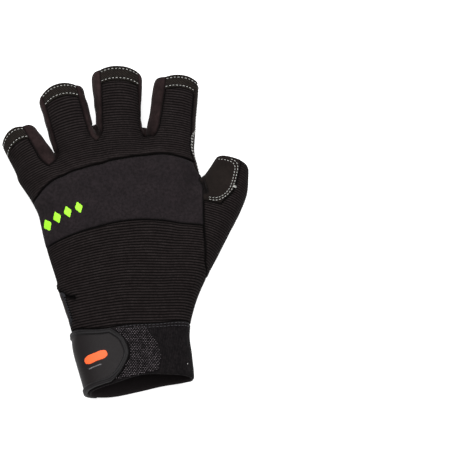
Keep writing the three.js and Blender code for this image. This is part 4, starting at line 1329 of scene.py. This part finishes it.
def cuff():
    across = CUFF_RIBS * RIB_POINTS
    sheet = Sheet().grid(cuff_rows, across, np.linspace(0, 1, 17), 30, closed=True).weld()
    p, edge = sheet.points, sheet.edge
    upper = sheet.places[:, 1] > 0.5
    ridge = ribs(sheet.places[:, 0] * CUFF_RIBS)
    on_back = p[:, 2] > read(TUBES["hand"][2], p[:, 1], MID)
    within = (p[:, 0] > STRIP_LEFT) & (p[:, 0] < STRIP_RIGHT)
    strip = (upper & on_back & within) * ease((STRIP_WIDTH - edge) / 0.5)
    outer = 0.3 + 0.16 * (ridge - 1) * (1 - strip) + waves(p, 71, (0.25, 14), (0.08, 5)) * ease(edge / 4)
    outer += 0.35 * strip - 0.25 * dent(edge, 0.7) * upper
    # Painted shade in the rib grooves, none on the plain strip; outside is 1 on the outer wall, so that the
    # inner wall gets painted light
    sheet.solid("cuff_cloth", "elastic", "cuff", outer, -CUFF,
                groove=(1 - ridge) * (1 - strip), outside=np.ones(len(p)))
    stitches("cuff_thread_end", [raised_line(fold_line(THREAD_END), 0.5)], *END_STITCH, radius=THICK_THREAD)
    for number, gap in enumerate(CUFF_ROWS):
        line = raised_line(curve(cuff_back(1 - gap / CUFF_HEIGHT, False, *CUFF_ROW_ENDS), 120)[0], 0.75)
        stitches(f"cuff_stitches_{number}", [line], *CUFF_STITCH, "dark_thread", DARK_THREAD)


def wrist_tab():
    sheet = Sheet().grid(tab_rows, 110, np.linspace(*TAB_ROWS, 24), 110).weld()
    edge, across = sheet.edge, sheet.places[:, 0]
    field = ease((edge - RIM_WIDTH) / 0.5)
    line = dent(edge - 0.5 * RIM_WIDTH, 0.24)
    grip = ribs(across * GRIPS) * (across < GRIP_END) * ease(edge - 2)
    outer = TAB_GAP + TAB - FIELD_DEPTH * field - 0.45 * line + 0.6 * grip
    x, y = sheet.points[:, 0] - TAB_CORNER[0], sheet.points[:, 1] - TAB_CORNER[1]
    outer -= 1.2 * ease(-x / 4) * dent(y, 8)
    # Painted shade in the grooves beside the rim; the rim attribute carries a painted highlight on the rim
    # itself
    groove = np.clip(dent(edge - RIM_WIDTH - 0.35, 0.4) + line, 0, 1)
    sheet.solid("wrist_tab_rubber", "rubber", "wrist_tab", outer, 0.15, roll=0.8, groove=groove,
                rim=(1 - field) * (1 - line))


cuff()
wrist_tab()


# Tools for what is cut to an outline of the plan


def ring_of(outline, gap):
    """Evenly spaced points on a smooth closed curve through an outline, counterclockwise."""
    controls = flat(np.array(outline, float))[None]
    length = lengths_along(curve(controls, 400, closed=True)[0])[-1]
    ring = curve(controls, int(length / gap), closed=True)[0][:-1, :2]
    following = np.roll(ring, -1, 0)
    area = (ring[:, 0] * following[:, 1] - ring[:, 1] * following[:, 0]).sum()
    return ring if area > 0 else ring[::-1]


def inside(points, ring):
    """Which points of the plan lie inside a ring."""
    following = np.roll(ring, -1, 0)
    odd = np.zeros(len(points), bool)
    for (x0, y0), (x1, y1) in zip(ring, following):
        if y0 != y1:
            crosses = (points[:, 1] >= min(y0, y1)) & (points[:, 1] < max(y0, y1))
            odd ^= crosses & (points[:, 0] < x0 + (points[:, 1] - y0) * (x1 - x0) / (y1 - y0))
    return odd


def laid(xy, lift, underside):
    """Points over the plan that lie a little off the form, and the normals there."""
    lift = (lift * np.ones(len(xy)))[:, None]
    base = xy
    for _ in range(4):
        points = surface(base[:, 0], base[:, 1], underside)
        normals = unit(slope(points))
        base = xy - normals[:, :2] * lift
    return points + normals * lift, normals


# The patch of loops

# How far apart the loops and their rows are, how far off its place each may be, and how far inside the edge
LOOP_PITCH, LOOP_ROW, LOOP_SHIFT, LOOP_MARGIN = 1.4, 1.0, 0.1, 0.5

# How they turn, how long, high and thick they are, how high they start, and points along and round each
LOOP_TURN, LOOP_SPREAD = 0.3, 0.3
LOOP_LENGTH, LOOP_HEIGHT, LOOP_WIRE, LOOP_START = (0.24, 0.34), 0.6, (0.15, 0.2), 0.6
LOOP_RINGS, LOOP_SIDES = 6, 4


def loop_patch():
    sheet = Sheet().grid(patch_rows, 44, np.linspace(*PATCH_ROWS, 20), 48).weld()
    outer = LAYER_GAP + 0.35 + waves(sheet.points, 81, (0.15, 1.4))
    # Its ground is near black: painted shade between the loops
    sheet.solid("loop_patch_base", "loops", "loop_patch", outer, 0.05, look="patch_ground_shade")


def patch_loops():
    rows = settle(curve(patch_rows(np.linspace(*PATCH_ROWS, 30)), 20))
    ring = np.concatenate([rows[:, -1, :2], rows[::-1, 0, :2]])
    rng = np.random.default_rng(7)
    (x0, y0), (x1, y1) = ring.min(0), ring.max(0)
    j, i = np.mgrid[0:(y1 - y0) / LOOP_ROW, 0:(x1 - x0) / LOOP_PITCH]
    xy = np.stack([x0 + (i + 0.5 * (j % 2)) * LOOP_PITCH, y0 + j * LOOP_ROW], -1).reshape(-1, 2)
    xy += rng.uniform(-LOOP_SHIFT, LOOP_SHIFT, xy.shape)
    xy = xy[inside(xy, ring)]
    base, up = laid(xy[near(flat(xy), flat(ring)) > LOOP_MARGIN], 0, False)
    count = len(base)
    turn = LOOP_TURN + rng.uniform(-LOOP_SPREAD, LOOP_SPREAD, (count, 1))
    right = unit(np.cross([0, 1, 0], up))
    forward = right * np.cos(turn) + np.cross(up, right) * np.sin(turn)
    side = np.cross(forward, up)[:, None]
    base, forward, up = base[:, None], forward[:, None], up[:, None]
    size, wire = rng.uniform(*LOOP_LENGTH, (count, 1, 1)), rng.uniform(*LOOP_WIRE, (count, 1))
    t = np.linspace(0, np.pi, LOOP_RINGS)[None, :, None]
    outward = unit(forward * np.cos(t) + up * np.sin(t))
    spine = base + forward * size * np.cos(t) + up * (LOOP_START + LOOP_HEIGHT * np.sin(t))
    points = rings_round(spine, wire, outward, side, LOOP_SIDES).reshape(-1, 3)
    build("loop_patch_loops", points, tube_faces(count, LOOP_RINGS, LOOP_SIDES), "loops", ("loop_patch",))


loop_patch()
patch_loops()


# Layers cut to an outline: the second palm layer and its pads

# How far apart the rows of points in a layer are, as a share of the gap between the points of a row
ROW_SHARE = 0.866
OVERLAY_TOP = LAYER_GAP + OVERLAY
OVERLAY_INSETS, PAD_INSET = (0.9, 2.6), 1.0

# How high a pad is at its edge, how much higher in its middle, and how full
PAD_EDGE, PAD_RISE, PAD_FILL = 0.7, 1.9, 0.7


def inset_ring(ring, d):
    """A ring drawn in by d and closed, without the points that come too near the ring itself."""
    step = np.roll(ring, -1, 0) - np.roll(ring, 1, 0)
    inward = unit(np.stack([-step[:, 1], step[:, 0]], 1))
    moved = ring + inward * d
    moved = moved[near(flat(moved), flat(ring)) > d - 0.08]
    return np.concatenate([moved, moved[:1]])


def grid_inside(ring, gap):
    """Points of the plan inside a ring, in rows a gap apart that are set off from one another."""
    (x0, y0), (x1, y1) = ring.min(0), ring.max(0)
    rows = []
    for k, y in enumerate(np.arange(y0, y1, gap * ROW_SHARE)):
        x = np.arange(x0 + gap / 2 * (k % 2), x1, gap)
        rows.append(np.stack([x, np.full(len(x), y)], 1))
    points = np.concatenate(rows)
    points = points[inside(points, ring)]
    return points[near(flat(points), flat(ring)) > 0.55 * gap]


def layer(name, outline, slot, nodes, bottom, height, underside=True, gap=0.8, look=None, low=-np.inf):
    """A closed layer over an outline. From points and how far in they lie, height gives the top and the
    painted shade of its grooves.
    """
    ring = ring_of(outline, gap)
    xy = np.concatenate([ring, grid_inside(ring, gap)])
    border = [list(range(len(ring)))]
    found = geometry.delaunay_2d_cdt([Vector(q) for q in xy.tolist()], [], border, 1, 1e-5)
    xy, triangles = np.array([tuple(q) for q in found[0]]), np.array(found[2])
    edge = near(flat(xy), flat(ring_of(outline, 0.15)))
    under = laid(xy, bottom, underside)[0]
    outer, groove = height(under, edge)
    over = laid(xy, bottom + (outer - bottom) * mix(0.4, 1, rolled(edge, 0.6)), underside)[0]
    points = np.concatenate([over, under])
    points[:, 2] = np.maximum(points[:, 2], low)
    faces = (triangles[:, ::-1] if underside else triangles).tolist()
    faces = wall_faces(faces, rim_of(faces, len(xy)), len(xy))
    return build(name, points, faces, slot, nodes, look, wall_attributes({"groove": groove}))


def overlay_height(p, edge):
    # The sunk stitch lines carry painted shade
    sunk = sum(dent(edge - row, 0.5) for row in OVERLAY_INSETS)
    soft = waves(p, 91, (0.18, 9), (0.08, 3.5))
    return OVERLAY_TOP + soft * ease(edge / 4) - 0.22 * sunk, np.clip(0.7 * sunk, 0, 1)


def pad_height(p, edge):
    # The sunk stitch line carries painted shade
    sunk = dent(edge - PAD_INSET, 0.55)
    full = ease((edge - PAD_INSET) / 4.5) ** 0.7
    rise = PAD_EDGE + (PAD_RISE + waves(p, 93, (0.15, 6))) * full
    return OVERLAY_TOP + rise - 0.2 * sunk, np.clip(0.8 * sunk, 0, 1)


layer("palm_overlay_suede", OVERLAY_OUTLINE, "pad_suede", ("palm_overlay",), 0.1, overlay_height, low=0.0)
overlay_ring = ring_of(OVERLAY_OUTLINE, 0.4)
palm_paths = [laid(inset_ring(overlay_ring, row), OVERLAY_TOP - 0.1, True) for row in OVERLAY_INSETS]
for name, outline in PADS.items():
    pad = layer(name + "_suede", outline, "pad_suede", (name,), OVERLAY_TOP + 0.05, pad_height, low=0.0)
    palm_paths.append(laid(inset_ring(ring_of(outline, 0.4), PAD_INSET), OVERLAY_TOP + 0.55, True))
stitches("palm_stitches", palm_paths, *PALM_STITCH, low=0.02)


# Small prints on the band and the tab

PRINT = 0.12
ACCENTS = [(-42, 1), (-36.4, 4.6), (-30.2, 7.4), (-23.8, 9.8)]
ACCENT_SIZE, ACCENT_LEAN, ACCENT_TURN = (5.4, 8.6), 22, -2

BAR_TIP = 1.2

# The prints on the tab: the middles of a bar's two ends, its width and its look
TAB_PRINTS = {
    "tab_bar": ((-17.8, -83.2), (-9.3, -80.6), 5.4, "orange_print"),
    "tab_line": ((-17.5, -88.6), (-10.5, -86.6), 0.8, "grey_print"),
}


def lozenge(middle, width, height, degrees):
    a = math.radians(degrees)
    turn = np.array([[math.cos(a), math.sin(a)], [-math.sin(a), math.cos(a)]])
    corners = np.array([(width, 0), (0, height), (-width, 0), (0, -height)]) / 2
    sides = [mix(corners[k], corners[(k + 1) % 4], t) for k in range(4) for t in (0.12, 0.5, 0.88)]
    return np.array(sides) @ turn + middle


def bar(start, end, width):
    """A bar with round ends, each BAR_TIP times flatter than half a circle."""
    start, end = np.array(start, float), np.array(end, float)
    along = unit(end - start) * width / 2
    side, middle = np.array([-along[1], along[0]]), (start + end) / 2
    rows = [(start, -1, -0.5), (start, -1, 0.5), (start, 0, 1), (middle, 0, 1), (end, 0, 1),
            (end, 1, 0.5), (end, 1, -0.5), (end, 0, -1), (middle, 0, -1), (start, 0, -1)]
    return [base + along * a / BAR_TIP + side * b for base, a, b in rows]


def band_print(p, edge):
    """The top of a print on the band and its grooves."""
    return band_height(p, 10 + edge) + PRINT, edge * 0


def tab_print(p, edge):
    """The top of a print on the tab's field and its grooves."""
    return TAB_GAP + TAB - FIELD_DEPTH + PRINT + edge * 0, edge * 0


for number, middle in enumerate(ACCENTS):
    outline = lozenge(middle, *ACCENT_SIZE, ACCENT_LEAN + ACCENT_TURN * number)
    layer(f"band_accent_{number}", outline, "foam_cloth", (), 0.6, band_print, False, 0.5, "green_print")
for name, (start, end, width, look) in TAB_PRINTS.items():
    layer(name, bar(start, end, width), "rubber", (), 1.9, tab_print, False, 0.4, look)


# The stage and the camera

FLOOR_HALF = 1.5
floor_nodes = Nodes("floor")
floor_nodes.finish((190, 190, 190), 0.9, specular=0.1)
floor_nodes.put(floor_nodes.shader, {"Emission Color": (255, 255, 255), "Emission Strength": 0.75})
floor_mesh = bpy.data.meshes.new("floor")
corners = [(x * FLOOR_HALF, y * FLOOR_HALF, 0) for x, y in ((-1, -1), (1, -1), (1, 1), (-1, 1))]
floor_mesh.from_pydata(corners, [], [[0, 1, 2, 3]])
floor_mesh.materials.append(LOOKS["floor"])
floor = bpy.data.objects.new("floor", floor_mesh)
bpy.context.scene.collection.objects.link(floor)


def aim(thing, location, toward):
    """Sets a light or the camera down, turned so that it looks along a direction."""
    thing.location = location
    thing.rotation_mode = "QUATERNION"
    thing.rotation_quaternion = toward.to_track_quat("-Z", "Y")
    bpy.context.scene.collection.objects.link(thing)


def area_light(name, location, size, power):
    """A square light that looks at the middle of the floor."""
    data = bpy.data.lights.new(name, "AREA")
    data.shape = "SQUARE"
    data.size = size
    data.energy = power
    aim(bpy.data.objects.new(name, data), location, -Vector(location))


area_light("key", (-0.35, 0.5, 1.15), 0.9, 20)
area_light("fill", (0.6, -0.2, 1.2), 1.0, 12)

world = bpy.data.worlds.new("world")
world.use_nodes = True
sky = world.node_tree.nodes["Background"].inputs
sky["Color"].default_value = (1, 1, 1, 1)
sky["Strength"].default_value = 0.5
bpy.context.scene.world = world
bpy.context.scene.view_settings.view_transform = "Standard"

# The photograph's frame: how wide it is at the glove, and where its middle lies
ELEVATION = 68.0
FRAME_WIDTH = 269.7
LENS, SENSOR = 1000.0, 36.0
FRAME_MIDDLE = Vector((62.8, 0.34, 12.0)) * MM
camera = bpy.data.objects.new("camera", bpy.data.cameras.new("camera"))
camera.data.lens, camera.data.sensor_width = LENS, SENSOR
camera.data.clip_end = 20
rise = math.radians(ELEVATION)
back = Vector((0, -math.cos(rise), math.sin(rise)))
aim(camera, FRAME_MIDDLE + back * (FRAME_WIDTH * MM * LENS / SENSOR), -back)
bpy.context.scene.camera = camera
